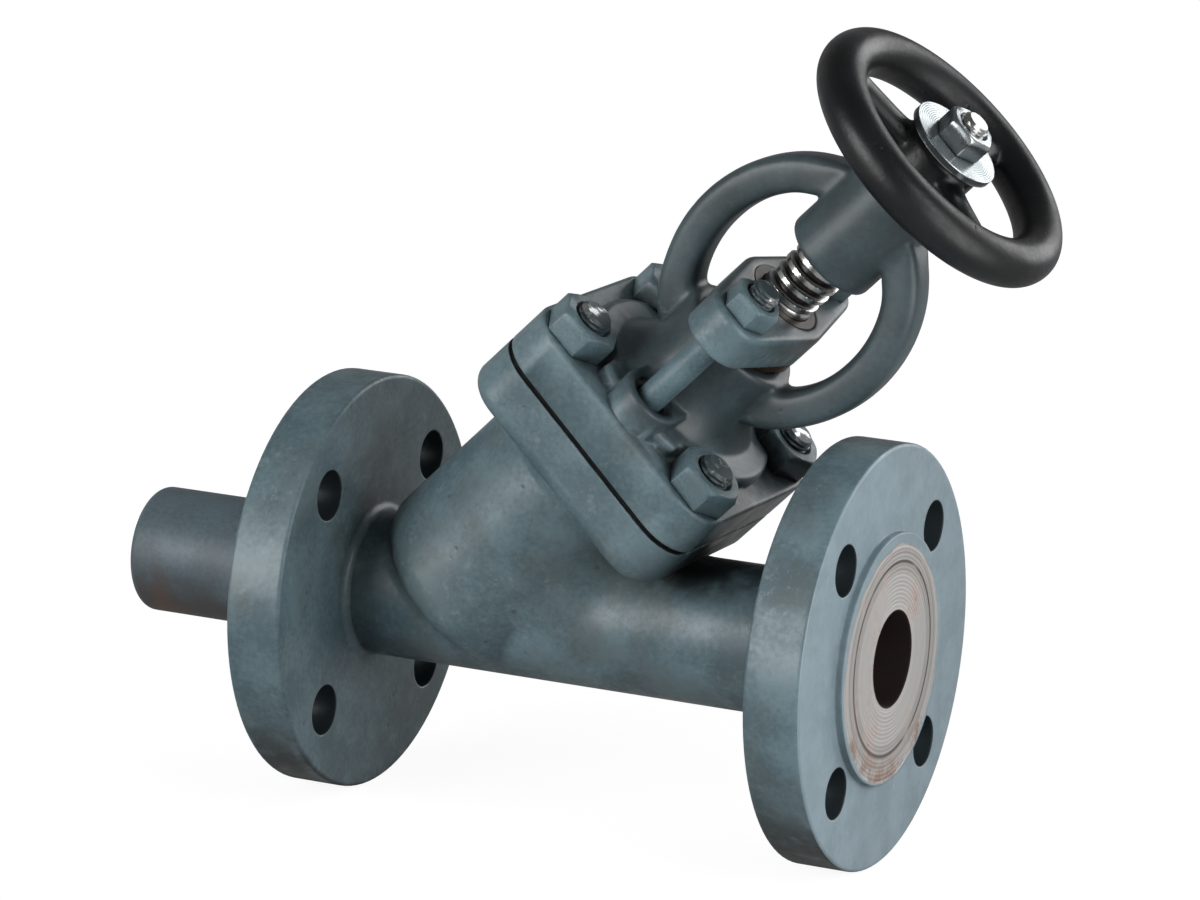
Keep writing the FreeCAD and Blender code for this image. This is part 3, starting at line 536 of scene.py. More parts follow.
def from_run(points):
    """Distance from the run's skin: how far a point is from the pipe's axis, less the radius."""
    return np.hypot(points[..., 1], points[..., 2]) - RUN_R


def from_branch(points):
    """Distance from the branch's skin, the same about the stem's axis."""
    placed = onto_stem(points)
    return np.hypot(placed[..., 0], placed[..., 1]) - BRANCH_R


def soft_union(points, width):
    """A soft minimum of the two distances a and b.

    It is the smaller one, less h squared times width / 4, with h = 1 - |a - b| / width."""
    a, b = from_run(points), from_branch(points)
    h = np.maximum(1 - np.abs(a - b) / width, 0)
    return np.minimum(a, b) - h * h * width / 4


def slope_of(points, width, step=0.01):
    """The direction in which the soft minimum grows, from differences along the three axes."""
    moves = step * np.eye(3)
    return np.stack([soft_union(points + move, width) - soft_union(points - move, width)
                     for move in moves], -1) / (2 * step)


# %% [markdown]
# Only the web is made, as a thin shell. Its rows cross the corner square to it, so that they meet
# the run and the branch evenly. To find where a row ends, a walk sets out from the corner over each
# of the two skins, which are cylinders. The shortest way over a cylinder is a helix.

# %% Web: walks over the two skins
WALK_LENGTHS = np.linspace(0, 50, 501)


def dots(a, b):
    """The dot product of each row of a with its row of b, as a column."""
    return (a * b).sum(1, keepdims=True)


def walk_on_run(start, way, length):
    """A helix over the run: its angle grows by length / radius, its place along the pipe by length."""
    angle, place = start[0] + length * way[0] / RUN_R, start[1] + length * way[1]
    return np.stack([place, RUN_R * np.sin(angle), RUN_R * np.cos(angle)], -1)


def walk_on_branch(start, way, length):
    """The same over the branch, round the stem and along it."""
    angle, place = start[0] + length * way[0] / BRANCH_R, start[1] + length * way[1]
    return off_stem(np.stack([BRANCH_R * np.cos(angle), BRANCH_R * np.sin(angle), place], -1))


def corner_and_ways(t):
    """The corner at the run's angles t, then the start and the way of walks over branch and run.

    The corner is at y = R sin t, z = R cos t, and the branch's angle there is p = arcsin(y / its radius).
    A way is the corner's direction crossed with the skin's normal, and leads out of the other piece."""
    y, z = RUN_R * np.sin(t), RUN_R * np.cos(t)
    p = np.arcsin(y / BRANCH_R)
    corner = np.stack([STEM_FOOT[0] + np.sqrt(2) * BRANCH_R * np.cos(p) + z, y, z], -1)
    tangent = np.gradient(corner, axis=0)
    tangent /= np.linalg.norm(tangent, axis=1, keepdims=True)
    run_normal = np.stack([0 * t, np.sin(t), np.cos(t)], -1)
    round_run = np.stack([0 * t, np.cos(t), -np.sin(t)], -1)
    branch_normal = np.cos(p)[:, None] * ACROSS + np.sin(p)[:, None] * DEPTH
    round_branch = np.cos(p)[:, None] * DEPTH - np.sin(p)[:, None] * ACROSS
    up_branch, over_run = np.cross(tangent, branch_normal), np.cross(tangent, run_normal)
    up_branch *= np.sign(dots(up_branch, run_normal))
    over_run *= np.sign(dots(over_run, branch_normal))
    branch_way = dots(up_branch, round_branch), (up_branch @ ALONG)[:, None]
    run_way = dots(over_run, round_run), over_run[:, :1]
    return corner, (p[:, None], onto_stem(corner)[:, 2:]), branch_way, (t[:, None], corner[:, :1]), run_way


def walk_end(distances, width):
    """How long each walk is until it is a web's width clear of the other skin."""
    return WALK_LENGTHS[(distances < width).cumprod(1).sum(1).clip(0, len(WALK_LENGTHS) - 1)][:, None]


# %% [markdown]
# A row starts as a parabola from one end by way of the corner to the other, and Newton steps carry
# its points to the web. Past its ends the row goes on by a lip that dips under the solid's skin by
# one in forty, so no edge can be seen. The web's width dies away towards the underside.

# %% Web: the shell
WEB_REACH, FADE_FROM = 112, 60
LIP, LIP_SLOPE, LIP_HOOK = 9.0, 1 / 40, 0.8
SHELL, NEWTON_STEPS = 3.2, 8


def web_sheet(rows=280, inner=36, lip_columns=8):
    """The web as a closed sheet. Rows follow the corner, and columns cross it and come back below."""
    degrees = np.linspace(-WEB_REACH, WEB_REACH, rows)
    width = (WEB * (1 - smooth_step(np.abs(degrees), FADE_FROM, WEB_REACH)) + 0.02)[:, None]
    corner, *walks = corner_and_ways(np.radians(degrees))
    branch, run = walks[:2], walks[2:]
    branch_length = walk_end(from_run(walk_on_branch(*branch, WALK_LENGTHS[None])), width)
    run_length = walk_end(from_branch(walk_on_run(*run, WALK_LENGTHS[None])), width)
    lip = np.linspace(1, 0, lip_columns, endpoint=False)[None] * LIP
    v = np.linspace(0, 1, inner)[None, :, None]
    middle = ((1 - v) ** 2 * walk_on_branch(*branch, branch_length) + 2 * v * (1 - v) * corner[:, None]
              + v ** 2 * walk_on_run(*run, run_length))
    points = np.concatenate([walk_on_branch(*branch, branch_length + lip), middle,
                             walk_on_run(*run, run_length + lip[:, ::-1])], 1)
    for _ in range(NEWTON_STEPS):
        grow = slope_of(points, width)
        points = points - (soft_union(points, width) / (grow ** 2).sum(-1))[..., None] * grow
    grow = slope_of(points, width)
    outward = grow / np.linalg.norm(grow, axis=-1, keepdims=True)
    past = np.concatenate([lip[0], np.zeros(inner), lip[0, ::-1]])[None, :, None]
    dip = past * LIP_SLOPE + LIP_HOOK * smooth_step(past, 0.75 * LIP, LIP)
    sunk = 0.8 * (1 - smooth_step(width, 0.8, 4.0))[..., None]
    sheet = np.concatenate([points - outward * (dip + sunk), (points - outward * SHELL)[:, ::-1]], 1)
    caps = sheet[[0, -1]].mean(1, keepdims=True) + 0 * sheet[[0, -1]]
    return np.concatenate([caps[:1], sheet, caps[1:]])


web = add_sheets("branch_web", [web_sheet()], 50, "casing")

# %% [markdown]
# The handwheel is an iron casting: a round rim, three spokes that widen where they meet the rim
# and the hub, and a plain hub. Rim, hub and spokes are each one sheet of points. Softening the
# three together melts them into one casting with real fillets.

# %% Handwheel: rim, spokes and hub
RIM_R, RIM_SECTION_R, SPOKE_FROM = 35.0, 6.5, 6.5
HUB_BORE_R, HUB_R, HUB_CHAMFER = 5.2, SQUARE_HALF * np.sqrt(2) + 4.5, 1.5
rim_height, hub_height = wheel_base + 8.4, wheel_base + 6.6


def rim_sheet(columns=200, rows=48):
    """A ring: a circle of radius R carries a round section of radius r."""
    section = full_turn(rows)
    return closed_rows(turned(RIM_R + RIM_SECTION_R * np.cos(section),
                              rim_height + RIM_SECTION_R * np.sin(section), columns))


def spoke_sheet(turn, rows=40, columns=40):
    """A spoke: ellipses on a path from hub to rim, wider and thicker towards both ends.

    With t from 0 at the hub to 1 in the rim and f = |2 t - 1| to the fourth power, its half width is
    4.7 - 0.5 t + 2.6 f, its half depth is 2.9 + 1.3 f, and its height follows a soft S."""
    t = np.linspace(0, 1, rows)
    flare = (2 * np.abs(t - 0.5)) ** 4
    path = np.stack([SPOKE_FROM + (RIM_R - SPOKE_FROM) * t, 4.7 - 0.5 * t + 2.6 * flare, 2.9 + 1.3 * flare,
                     rim_height + (hub_height - rim_height) * (1 - smooth_step(t, 0.0, 0.9))])
    path = np.concatenate([path[:, :1], path, path[:, -1:]], 1)[..., None]
    grow = np.concatenate([[0], np.ones(rows), [0]])[:, None]
    around = full_turn(columns)
    x = path[0] + 0 * around
    y = path[1] * grow * np.cos(around)
    z = path[3] + path[2] * grow * np.sin(around)
    across, depth = x * np.cos(turn) - y * np.sin(turn), x * np.sin(turn) + y * np.cos(turn)
    return off_stem(np.stack([across, depth, z], -1))


hub_profile = np.array([[HUB_BORE_R, 0], [HUB_R - HUB_CHAMFER, 0], [HUB_R, HUB_CHAMFER],
                        [HUB_R, HUB_HEIGHT - HUB_CHAMFER], [HUB_R - HUB_CHAMFER, HUB_HEIGHT],
                        [HUB_BORE_R, HUB_HEIGHT]])
hub_sheet = closed_rows(turned(hub_profile[:, 0], hub_profile[:, 1] + wheel_base, 96))
spokes = [spoke_sheet(np.radians(SPOKE_DEGREES + 120.0 * number)) for number in range(3)]
wheel_parts = mesh_of("wheel_parts", [rim_sheet(), hub_sheet] + spokes)


# %% Handwheel: one casting
def wheel_share(points, number):
    """Full softening outside the hub's machined top and bore."""
    return 0.15 + 0.85 * smooth_step(np.hypot(points[:, 0], points[:, 1]), 7.5, 10.0)


handwheel = add_piece("cast_handwheel", rebuilt("cast_handwheel", wheel_parts, 0.5, 16, wheel_share),
                      "spindle", "handwheel", "black_casting")

# %% [markdown]
# Materials are built from nodes. A small class wraps a node's output, so that sums, products and
# comparisons can be written as on paper: each one adds a Math node. A handful of functions add
# the other nodes. So a finish reads as a list of what a painter or a machinist did.

# %% Values in a node tree
class Value:
    """An output of a node: a number, a colour or a vector. Arithmetic on values adds Math nodes."""

    def __init__(self, socket):
        self.socket = socket

    def __add__(self, other):
        return maths("ADD", self, other)

    def __sub__(self, other):
        return maths("SUBTRACT", self, other)

    def __rsub__(self, other):
        return maths("SUBTRACT", other, self)

    def __mul__(self, other):
        return maths("MULTIPLY", self, other)

    def __truediv__(self, other):
        return maths("DIVIDE", self, other)

    def __lt__(self, other):
        return maths("LESS_THAN", self, other)

    def __gt__(self, other):
        return maths("GREATER_THAN", self, other)

    def __abs__(self):
        return maths("ABSOLUTE", self)


def connect(value, socket):
    """Links a value to a socket, or writes a plain number, vector or colour in it."""
    if isinstance(value, Value):
        socket.id_data.links.new(value.socket, socket)
    else:
        socket.default_value = value


def node(tree, kind, inputs=None, output=0, **settings):
    """Adds a node, sets its properties, fills its inputs by name or number, and returns one output."""
    made = tree.nodes.new("ShaderNode" + kind)
    for key, value in settings.items():
        setattr(made, key, value)
    for key, value in (inputs or {}).items():
        connect(value, made.inputs[key])
    return Value(made.outputs[output])


def all_outputs(value):
    """Every output of the node that a value comes from, by name."""
    return {socket.name: Value(socket) for socket in value.socket.node.outputs}


def tree_of(*values):
    """The tree that the first of some values stands in. Plain numbers are passed over."""
    return next(value.socket.id_data for value in values if isinstance(value, Value))


# %% Steps of a recipe
def maths(operation, a, b=0.0):
    """A Math node's result."""
    return node(tree_of(a, b), "Math", {0: a, 1: b}, operation=operation)


def clamped(value):
    """The same value, kept between 0 and 1 by the Math node that it comes from."""
    value.socket.node.use_clamp = True
    return value


def either(a, b):
    """The larger of two masks."""
    return maths("MAXIMUM", a, b)


def ramp(value, low, high):
    """0 below low, 1 above high, smooth between."""
    return node(tree_of(value), "MapRange", {"Value": value, "From Min": low, "From Max": high},
                interpolation_type="SMOOTHSTEP")


def fall(value, low, high):
    """1 below low, 0 above high, smooth between."""
    return 1.0 - ramp(value, low, high)


def blend(share, a, b):
    """Mixes two colours by a share."""
    return node(tree_of(share), "Mix", {0: share, 6: a, 7: b}, 2, data_type="RGBA")


def coats(colour, *layers):
    """Lays layers over a colour, one after another. Each is a share and a colour."""
    for share, layer in layers:
        colour = blend(share, colour, layer)
    return colour


def between(share, a, b):
    """Mixes two numbers by a share."""
    return node(tree_of(share), "Mix", {0: share, 2: a, 3: b}, data_type="FLOAT")


def noise(vector, scale, detail, roughness=0.5, distortion=0.0):
    """Soft noise from 0 to 1, mostly near one half."""
    return node(tree_of(vector), "TexNoise", {"Vector": vector, "Scale": scale, "Detail": detail,
                                              "Roughness": roughness, "Distortion": distortion})


def vector_maths(operation, inputs, output=0):
    """A Vector Math node's result."""
    return node(tree_of(*inputs), "VectorMath", dict(enumerate(inputs)), output, operation=operation)


def use(group, vector, **inputs):
    """Places a group, hands it the vector, and returns its outputs by name."""
    return all_outputs(node(tree_of(vector), "Group", {"Vector": vector, **inputs}, node_tree=group))


# %% Colours and groups
def srgb(red, green, blue):
    """A colour as seen on screen, 0 to 255, turned into the linear colour that a shader takes."""
    value = np.array([red, green, blue]) / 255.0
    value = np.where(value <= 0.04045, value / 12.92, ((value + 0.055) / 1.055) ** 2.4)
    return (*value.tolist(), 1.0)


def socket_kind(is_vector):
    """The name that Blender gives to a socket's kind."""
    return "NodeSocketVector" if is_vector else "NodeSocketFloat"


def new_group(name, **inputs):
    """A shader node group and its inputs: a Vector, and others with the values that they start from."""
    group = bpy.data.node_groups.new(name, "ShaderNodeTree")
    group.interface.new_socket("Vector", in_out="INPUT", socket_type=socket_kind(True))
    for title, value in inputs.items():
        kind = socket_kind(isinstance(value, tuple))
        group.interface.new_socket(title, in_out="INPUT", socket_type=kind).default_value = value
    return group, {socket.name: Value(socket) for socket in group.nodes.new("NodeGroupInput").outputs}


def hand_out(group, **outputs):
    """Makes the group's outputs and fills them."""
    for title in outputs:
        group.interface.new_socket(title, in_out="OUTPUT", socket_type=socket_kind(title == "Normal"))
    result = group.nodes.new("NodeGroupOutput").inputs
    for title, value in outputs.items():
        connect(value, result[title])
    print(group.name, "has", len(group.nodes), "nodes and gives", ", ".join(outputs))


print("mid grey on screen is", round(srgb(128, 128, 128)[0], 3), "to a shader")

# %% [markdown]
# Enamel on a sand casting isn't flat. It follows broad hollows, it has the orange peel of a
# spray gun, and it has the odd pit. In store it gets pale scuffs in some places and a brownish
# film in others. One group gives all of these from the object's coordinates, so that every
# casting can have them at its own strength.

# %% Group: cast skin
cast_skin, given = new_group("Cast skin", Grain=1.0)
vector, grain = given["Vector"], given["Grain"]
hollows = noise(vector, 55.0, 2.0)
peel = noise(vector, grain * 620.0, 3.0, 0.6)
spots = node(cast_skin, "TexVoronoi", {"Vector": vector, "Scale": grain * 210.0}, "Distance")
pits = fall(spots, 0.06, 0.22) * ramp(noise(vector, 130.0, 1.0), 0.60, 0.68)
rubbed = ramp(noise(vector, 340.0, 6.0, 0.75), 0.52, 0.66)
handled = ramp(noise(vector, 42.0, 3.0, distortion=0.6), 0.48, 0.64)
hand_out(cast_skin, Height=hollows * 3.0 + peel * 0.35 - pits * 0.8,
         Mottle=ramp(hollows * 0.65 + peel * 0.35, 0.36, 0.64), Pits=pits, Scuffs=rubbed * handled,
         Film=ramp(noise(vector, 30.0, 6.0, 0.62), 0.47, 0.66))

# %% [markdown]
# Paint is thin on edges and thick in corners. A Bevel node answers both: it looks at the surface
# a small distance around each point and gives the normal of a rounded edge. Where that normal
# differs from the true one there is an edge. An occlusion node, kept short by default, finds the
# corners and hollows; colour laid there is painted shade, and also the dust and grease that stay.

# %% Groups: worn edge, and painted shade with dirt
worn_edge, given = new_group("Worn edge", Radius=0.0008, Strength=1.0)
rounded = node(worn_edge, "Bevel", {"Radius": given["Radius"]}, samples=6)
true_normal = node(worn_edge, "NewGeometry", output="Normal")
bent = ramp(1.0 - vector_maths("DOT_PRODUCT", (rounded, true_normal), "Value"), 0.01, 0.12)
broken = ramp(noise(given["Vector"], 320.0, 4.0, 0.7), 0.38, 0.62)
hand_out(worn_edge, Normal=rounded, Mask=clamped(bent * broken * given["Strength"]))

shade_and_dirt, given = new_group("Shade and dirt", Reach=0.006, Amount=1.0, Start=0.25, Full=0.95)
# The mask darkens corners and hollows: painted shade, and dirt in the corners too.
open_share = node(shade_and_dirt, "AmbientOcclusion", {"Distance": given["Reach"]}, "AO", samples=6, only_local=False)
deep = ramp(1.0 - open_share, given["Start"], given["Full"])
uneven = ramp(noise(given["Vector"], 150.0, 4.0), 0.2, 0.6)
hand_out(shade_and_dirt, Mask=clamped(deep * uneven * given["Amount"]))

# %% [markdown]
# Two more groups follow the shape of the machine work. One gives the distance from an axis and
# the place along it, for the pipe or for the stem. The other turns a distance into the fine
# rings that a lathe leaves.

# %% Groups: axis distance and turned rings
axis_place, given = new_group("Axis place", Foot=(0.0, 0.0, 0.0), Axis=(1.0, 0.0, 0.0))
arm = vector_maths("SUBTRACT", (given["Vector"], given["Foot"]))
off_axis = vector_maths("CROSS_PRODUCT", (arm, given["Axis"]))
hand_out(axis_place, Along=vector_maths("DOT_PRODUCT", (arm, given["Axis"]), "Value"),
         Radius=vector_maths("LENGTH", (off_axis,), "Value"))

turned_rings, given = new_group("Turned rings", Distance=0.0, Pitch=0.0008)
count = given["Distance"] / given["Pitch"] + noise(given["Vector"], 60.0, 2.0) * 0.15
tone = node(turned_rings, "TexWhiteNoise", {"W": maths("FLOOR", count * 0.5)}, "Value", noise_dimensions="1D")
hand_out(turned_rings, Height=maths("SINE", count * (2 * np.pi)), Tone=tone)

# %% [markdown]
# Every material starts the same way, with a Principled shader and the object's coordinates. Its
# colour, roughness and metal go to the shader, and its relief goes through a Bump node.

# %% Starting and finishing a material
PIPE = {"Foot": (0.0, 0.0, 0.0), "Axis": (1.0, 0.0, 0.0)}
STEM = {"Foot": tuple(STEM_FOOT / 1000), "Axis": tuple(ALONG)}


def start(name):
    """A new material, its shader, and the object's coordinates in its tree."""
    material = bpy.data.materials.new(name)
    material.use_nodes = True
    tree = material.node_tree
    return material, tree.nodes["Principled BSDF"], node(tree, "TexCoord", output="Object")


def feed(shader, **values):
    """Sets or links the shader's sockets. Underscores in names stand for spaces."""
    for key, value in values.items():
        connect(value, shader.inputs[key.replace("_", " ")])


def relief(shader, height, depth, normal=None):
    """Feeds a height to the shader's normal. depth, in millimetres, is what a height of 1 stands for."""
    inputs = {"Height": height, "Distance": depth / 1000, "Strength": 1.0}
    if normal is not None:
        inputs["Normal"] = normal
    feed(shader, Normal=node(shader.id_data, "Bump", inputs))


def dress(material, *pieces):
    """Gives nodes or new pieces their material."""
    for piece in pieces:
        if piece.material_slots:
            piece.material_slots[0].material = material
        else:
            piece.data.materials.append(material)


# %% [markdown]
# The enamel is a blue-grey that mottles between two tones. Over it lie, in this order, a brownish
# film, pale scuffs, painted shade in broad hollows, pale worn edges that also paint in the edges'
# highlights, pits, and painted shade with dirt in the corners.

# %% Enamel
ENAMEL_DARK, ENAMEL, ENAMEL_PALE = srgb(89, 112, 120), srgb(118, 142, 150), srgb(152, 170, 176)
FILM, SHADE, PIT, SHADE_AND_DIRT = srgb(92, 94, 90), srgb(36, 40, 41), srgb(62, 70, 74), srgb(26, 29, 31)


def enamel(vector, edge_radius=0.0009, edge_strength=0.6, grain=1.0, dark=ENAMEL_DARK, light=ENAMEL):
    """Colour, roughness, height and edge normal of the blue-grey enamel."""
    skin = use(cast_skin, vector, Grain=grain)
    edge = use(worn_edge, vector, Radius=edge_radius, Strength=edge_strength)
    # Short occlusion: painted shade with dirt in the corners. Long occlusion: painted shade in broad hollows.
    corner_dark = use(shade_and_dirt, vector, Reach=0.008, Amount=0.9, Start=0.22, Full=0.80)["Mask"]
    shade = use(shade_and_dirt, vector, Reach=0.045, Amount=1.0, Start=0.30, Full=0.90)["Mask"]
    # Pale worn edges also paint in the highlights along the edges.
    colour = coats(blend(skin["Mottle"], dark, light), (skin["Film"] * 0.40, FILM),
                   (skin["Scuffs"] * 0.42, ENAMEL_PALE), (shade, SHADE), (edge["Mask"], ENAMEL_PALE),
                   (skin["Pits"] * 0.5, PIT), (corner_dark, SHADE_AND_DIRT))
    rough = between(corner_dark, between(skin["Mottle"], 0.44, 0.32), 0.7)
    return colour, rough, skin["Height"], edge["Normal"]


# %% [markdown]
# The body is one casting with several finishes. Its skin is enamelled, but the raised faces are
# left bare, because a gasket seals on the fine rings that the lathe cuts there. The bores are dark
# with oil and rust. Masks by place keep each finish where a painter's masking tape would. Places
# are in metres from the inlet's gasket face.

# %% Body: masks by place
BOLT_OFFSET, BOLT_HOLE_R, BORE_R = 0.03005, 0.00705, 0.0133
INLET_BACK, OUTLET_BACK, OUTLET_FRONT = 0.019, 0.153, 0.1696
INLET_RAISED, OUTLET_RAISED, BARE_RADII = 0.0017, 0.1703, (0.0331, 0.0339)
BARE_CENTRE = {"Foot": (0.0, 0.0, -0.0012), "Axis": (1.0, 0.0, 0.0)}

body_finish, shader, vector = start("enamelled body with bare faces")
pipe = use(axis_place, vector, **PIPE)
along, radius = pipe["Along"], pipe["Radius"]
place = all_outputs(node(tree_of(vector), "SeparateXYZ", {0: vector}))
sides = [abs(place[axis]) - BOLT_OFFSET for axis in "YZ"]
from_hole = maths("SQRT", sides[0] * sides[0] + sides[1] * sides[1])
in_hole = (from_hole < BOLT_HOLE_R) * either(along < INLET_BACK, along > OUTLET_BACK)
bare_radius = use(axis_place, vector, **BARE_CENTRE)["Radius"] + noise(vector, 120.0, 4.0) * 0.0030
on_face = either(along < INLET_RAISED, along > OUTLET_RAISED) * fall(bare_radius, *BARE_RADII)
in_bore = radius < BORE_R

# %% [markdown]
# The bare steel is pale, with rings in two tones. One band of rings is darker, and one groove has
# caught dirt in places. Steel stains light brown in store, most of all low down, where damp stood.

# %% Body: bare steel of the raised faces
STEEL_DARK, STEEL_PALE, RING_SHADOW = srgb(184, 181, 178), srgb(206, 204, 201), srgb(150, 144, 140)
STAIN_PALE, STAIN, STAIN_LOW = srgb(196, 180, 173), srgb(142, 116, 102), srgb(156, 132, 120)
GROOVE_R, GROOVE_DIRT = 0.0262, srgb(96, 88, 84)

rings = use(turned_rings, vector, Distance=radius, Pitch=0.0011)
stains = noise(vector, 90.0, 8.0, 0.7)
band = ramp(radius, 0.0225, 0.0245) * fall(radius, 0.0285, 0.0305)
low_down = ramp(radius, 0.024, 0.032) * ramp(place["Z"] * -1.0, 0.004, 0.022)
groove = fall(abs(radius - GROOVE_R), 0.0002, 0.0007) * ramp(noise(vector, 38.0, 3.0), 0.42, 0.55)
steel = coats(blend(rings["Tone"], STEEL_DARK, STEEL_PALE), (band * rings["Tone"], RING_SHADOW),
              (ramp(stains, 0.48, 0.64), STAIN_PALE), (ramp(stains, 0.60, 0.72) * 0.8, STAIN),
              (low_down * ramp(stains, 0.44, 0.60), STAIN_LOW), (groove, GROOVE_DIRT))

# %% Body: all finishes together
DEEP_SHADE, OUTLET_PAINTED_LIGHT, HOLE_SHADE = srgb(22, 25, 26), srgb(157, 176, 186), srgb(52, 62, 66)
RUST_DARK, RUST = srgb(24, 16, 13), srgb(48, 31, 24)

colour, rough, skin_height, edge_normal = enamel(vector)
# Painted deep shade in enclosed places, such as the run's top under the flanges and bonnet.
deep_shade = use(shade_and_dirt, vector, Reach=0.06, Amount=0.8, Start=0.42, Full=0.72)["Mask"]
# Painted light: the outlet's face is painted paler than the rest of the enamel.
outlet_painted_light = (along > OUTLET_FRONT) * between(ramp(stains, 0.35, 0.6), 0.85, 0.6)
# Painted shade on the walls of the bolt holes.
colour = coats(colour, (deep_shade, DEEP_SHADE), (outlet_painted_light, OUTLET_PAINTED_LIGHT), (on_face, steel), (in_hole, HOLE_SHADE),
               (in_bore, blend(stains, RUST_DARK, RUST)))
rough = between(on_face, rough, between(ramp(stains, 0.45, 0.7), 0.34, 0.55))
feed(shader, Base_Color=colour, Roughness=between(in_bore, rough, 0.8),
     Metallic=clamped(on_face - in_bore) * 0.25)
relief(shader, between(on_face, skin_height, rings["Height"] * 0.35), 0.10, edge_normal)
dress(body_finish, nodes["valve_body"], web)
print("the body's finish has", len(shader.id_data.nodes), "nodes")

# %% [markdown]
# The bonnet has the same enamel, a tone lighter, but above its platform it is darker and glossier:
# an oily film, which also stands in there as painted shade.

# %% Bonnet
bonnet_finish, shader, vector = start("enamelled casting")
colour, rough, skin_height, edge_normal = enamel(vector, 0.0012, 0.5, dark=srgb(98, 121, 129),
                                                 light=srgb(128, 152, 160))
film_noise = noise(vector, 60.0, 5.0, 0.6)
darkened_zone = ramp(use(axis_place, vector, **STEM)["Along"] + film_noise * 0.010, 0.0900, 0.1040)
# Above the platform: an oil film and painted shade, darker and glossier.
feed(shader, Base_Color=blend(darkened_zone * between(film_noise, 0.6, 0.85), colour, srgb(48, 56, 59)),
     Roughness=between(darkened_zone, rough, 0.37), Metallic=0.0)
relief(shader, skin_height, 0.10, edge_normal)
dress(bonnet_finish, bonnet)

# %% [markdown]
# The spigot is a piece of pipe that the boiler fitter will weld or seal, so it gets only a thin
# dark primer. Mill scale and a little rust show through it near its end.

# %% Primed pipe
primer, shader, vector = start("primed pipe")
skin = use(cast_skin, vector, Grain=1.2)
edge = use(worn_edge, vector, Radius=0.0010, Strength=0.7)
pipe = use(axis_place, vector, **PIPE)
blotch = noise(vector, 85.0, 6.0, 0.62)
near_end = ramp(pipe["Along"] * -1.0, 0.006, 0.052)
height = node(tree_of(vector), "SeparateXYZ", {0: vector}, "Z")
# The primer turns a darker grey towards the bottom.
low_side = ramp(blotch * 0.020 - height, 0.004, 0.026)
rusty = ramp(blotch, 0.45, 0.62) * (near_end * low_side)
colour = coats(blend(skin["Mottle"], srgb(92, 108, 116), srgb(112, 130, 139)),
               (low_side, srgb(74, 74, 74)), (rusty, srgb(104, 84, 74)), (edge["Mask"], srgb(122, 128, 130)),
               (pipe["Radius"] < BORE_R, blend(blotch, srgb(34, 22, 18), srgb(64, 42, 32))))
feed(shader, Base_Color=colour, Roughness=between(blotch, 0.38, 0.6), Metallic=0.0)
relief(shader, skin["Height"], 0.08, edge["Normal"])
dress(primer, nodes["inlet_spigot"])

# %% [markdown]
# The gland sits next to the greased stem. Its enamel is darker on top, where grease and packing
# graphite have crept over it.

# %% Gland flange
greasy_enamel, shader, vector = start("greasy enamel")
colour, rough, skin_height, edge_normal = enamel(vector, 0.0008, 0.6)
stem = use(axis_place, vector, **STEM)
near_stem = fall(stem["Radius"] + noise(vector, 95.0, 5.0, 0.6) * 0.010, 0.0170, 0.0330)
grease = (near_stem * 0.55 + 0.12) * ramp(stem["Along"], 0.1235, 0.1300)
feed(shader, Base_Color=blend(grease, colour, srgb(54, 56, 57)), Roughness=between(grease, rough, 0.28),
     Metallic=0.0)
relief(shader, skin_height, 0.08, edge_normal)
dress(greasy_enamel, gland_flange)

# %% [markdown]
# Nuts are sprayed with the valve, but a spanner chips their corners, and stud ends are wiped or
# rubbed bare. Bare metal shows on the worn edges.

# %% Enamelled nuts
nut_enamel, shader, vector = start("enamelled nut")
colour, rough, skin_height, edge_normal = enamel(vector, 0.0005, 0.0, 2.0)
chips = use(worn_edge, vector, Radius=0.0007, Strength=0.85)["Mask"]
feed(shader, Base_Color=blend(chips, colour, srgb(178, 184, 186)), Roughness=between(chips, rough, 0.3),
     Metallic=chips * 0.6)
relief(shader, skin_height, 0.05, edge_normal)
dress(nut_enamel, bonnet_nuts, *gland_nuts)

# %% [markdown]
# A stud was painted with the rest, so its shaft has the enamel's colours. Its ends stand out of the
# nuts, and there the paint has gone dark or has come off in patches. Heights along the stem tell
# the ends of the bonnet's studs from those of the gland's, which stand nearer to the stem.

# %% Studs
stud_finish, shader, vector = start("stud steel, part painted")
stem = use(axis_place, vector, **STEM)
skin = use(cast_skin, vector, Grain=2.0)
bonnet_end = ramp(stem["Along"], 0.0966, 0.0972) * (stem["Along"] < 0.1003) * (stem["Radius"] > 0.0312)
end = either(bonnet_end, ramp(stem["Along"], 0.1384, 0.1392))
bare = clamped(end * ramp(noise(vector, 260.0, 4.0), 0.54, 0.66))
corner_dark = use(shade_and_dirt, vector, Reach=0.004, Amount=0.9)["Mask"]
colour = coats(blend(skin["Mottle"], ENAMEL_DARK, ENAMEL), (end * 0.75, srgb(46, 50, 52)),
               (bare, srgb(196, 198, 198)), (corner_dark, srgb(30, 30, 30)))
feed(shader, Base_Color=colour, Roughness=between(bare, 0.42, 0.26), Metallic=bare * 0.9)
relief(shader, skin["Height"], 0.04)
dress(stud_finish, bonnet_studs, gland_studs, nodes["disc_lock_pin"], nodes["yoke_bush_screw"])

# %% [markdown]
# The stem is stainless steel with grease in the roots of its thread. The distance from the axis
# tells root from crest, so the grease needs no painting by hand: it is dark and glossy below a
# radius of 7 mm and thins out towards the crest.

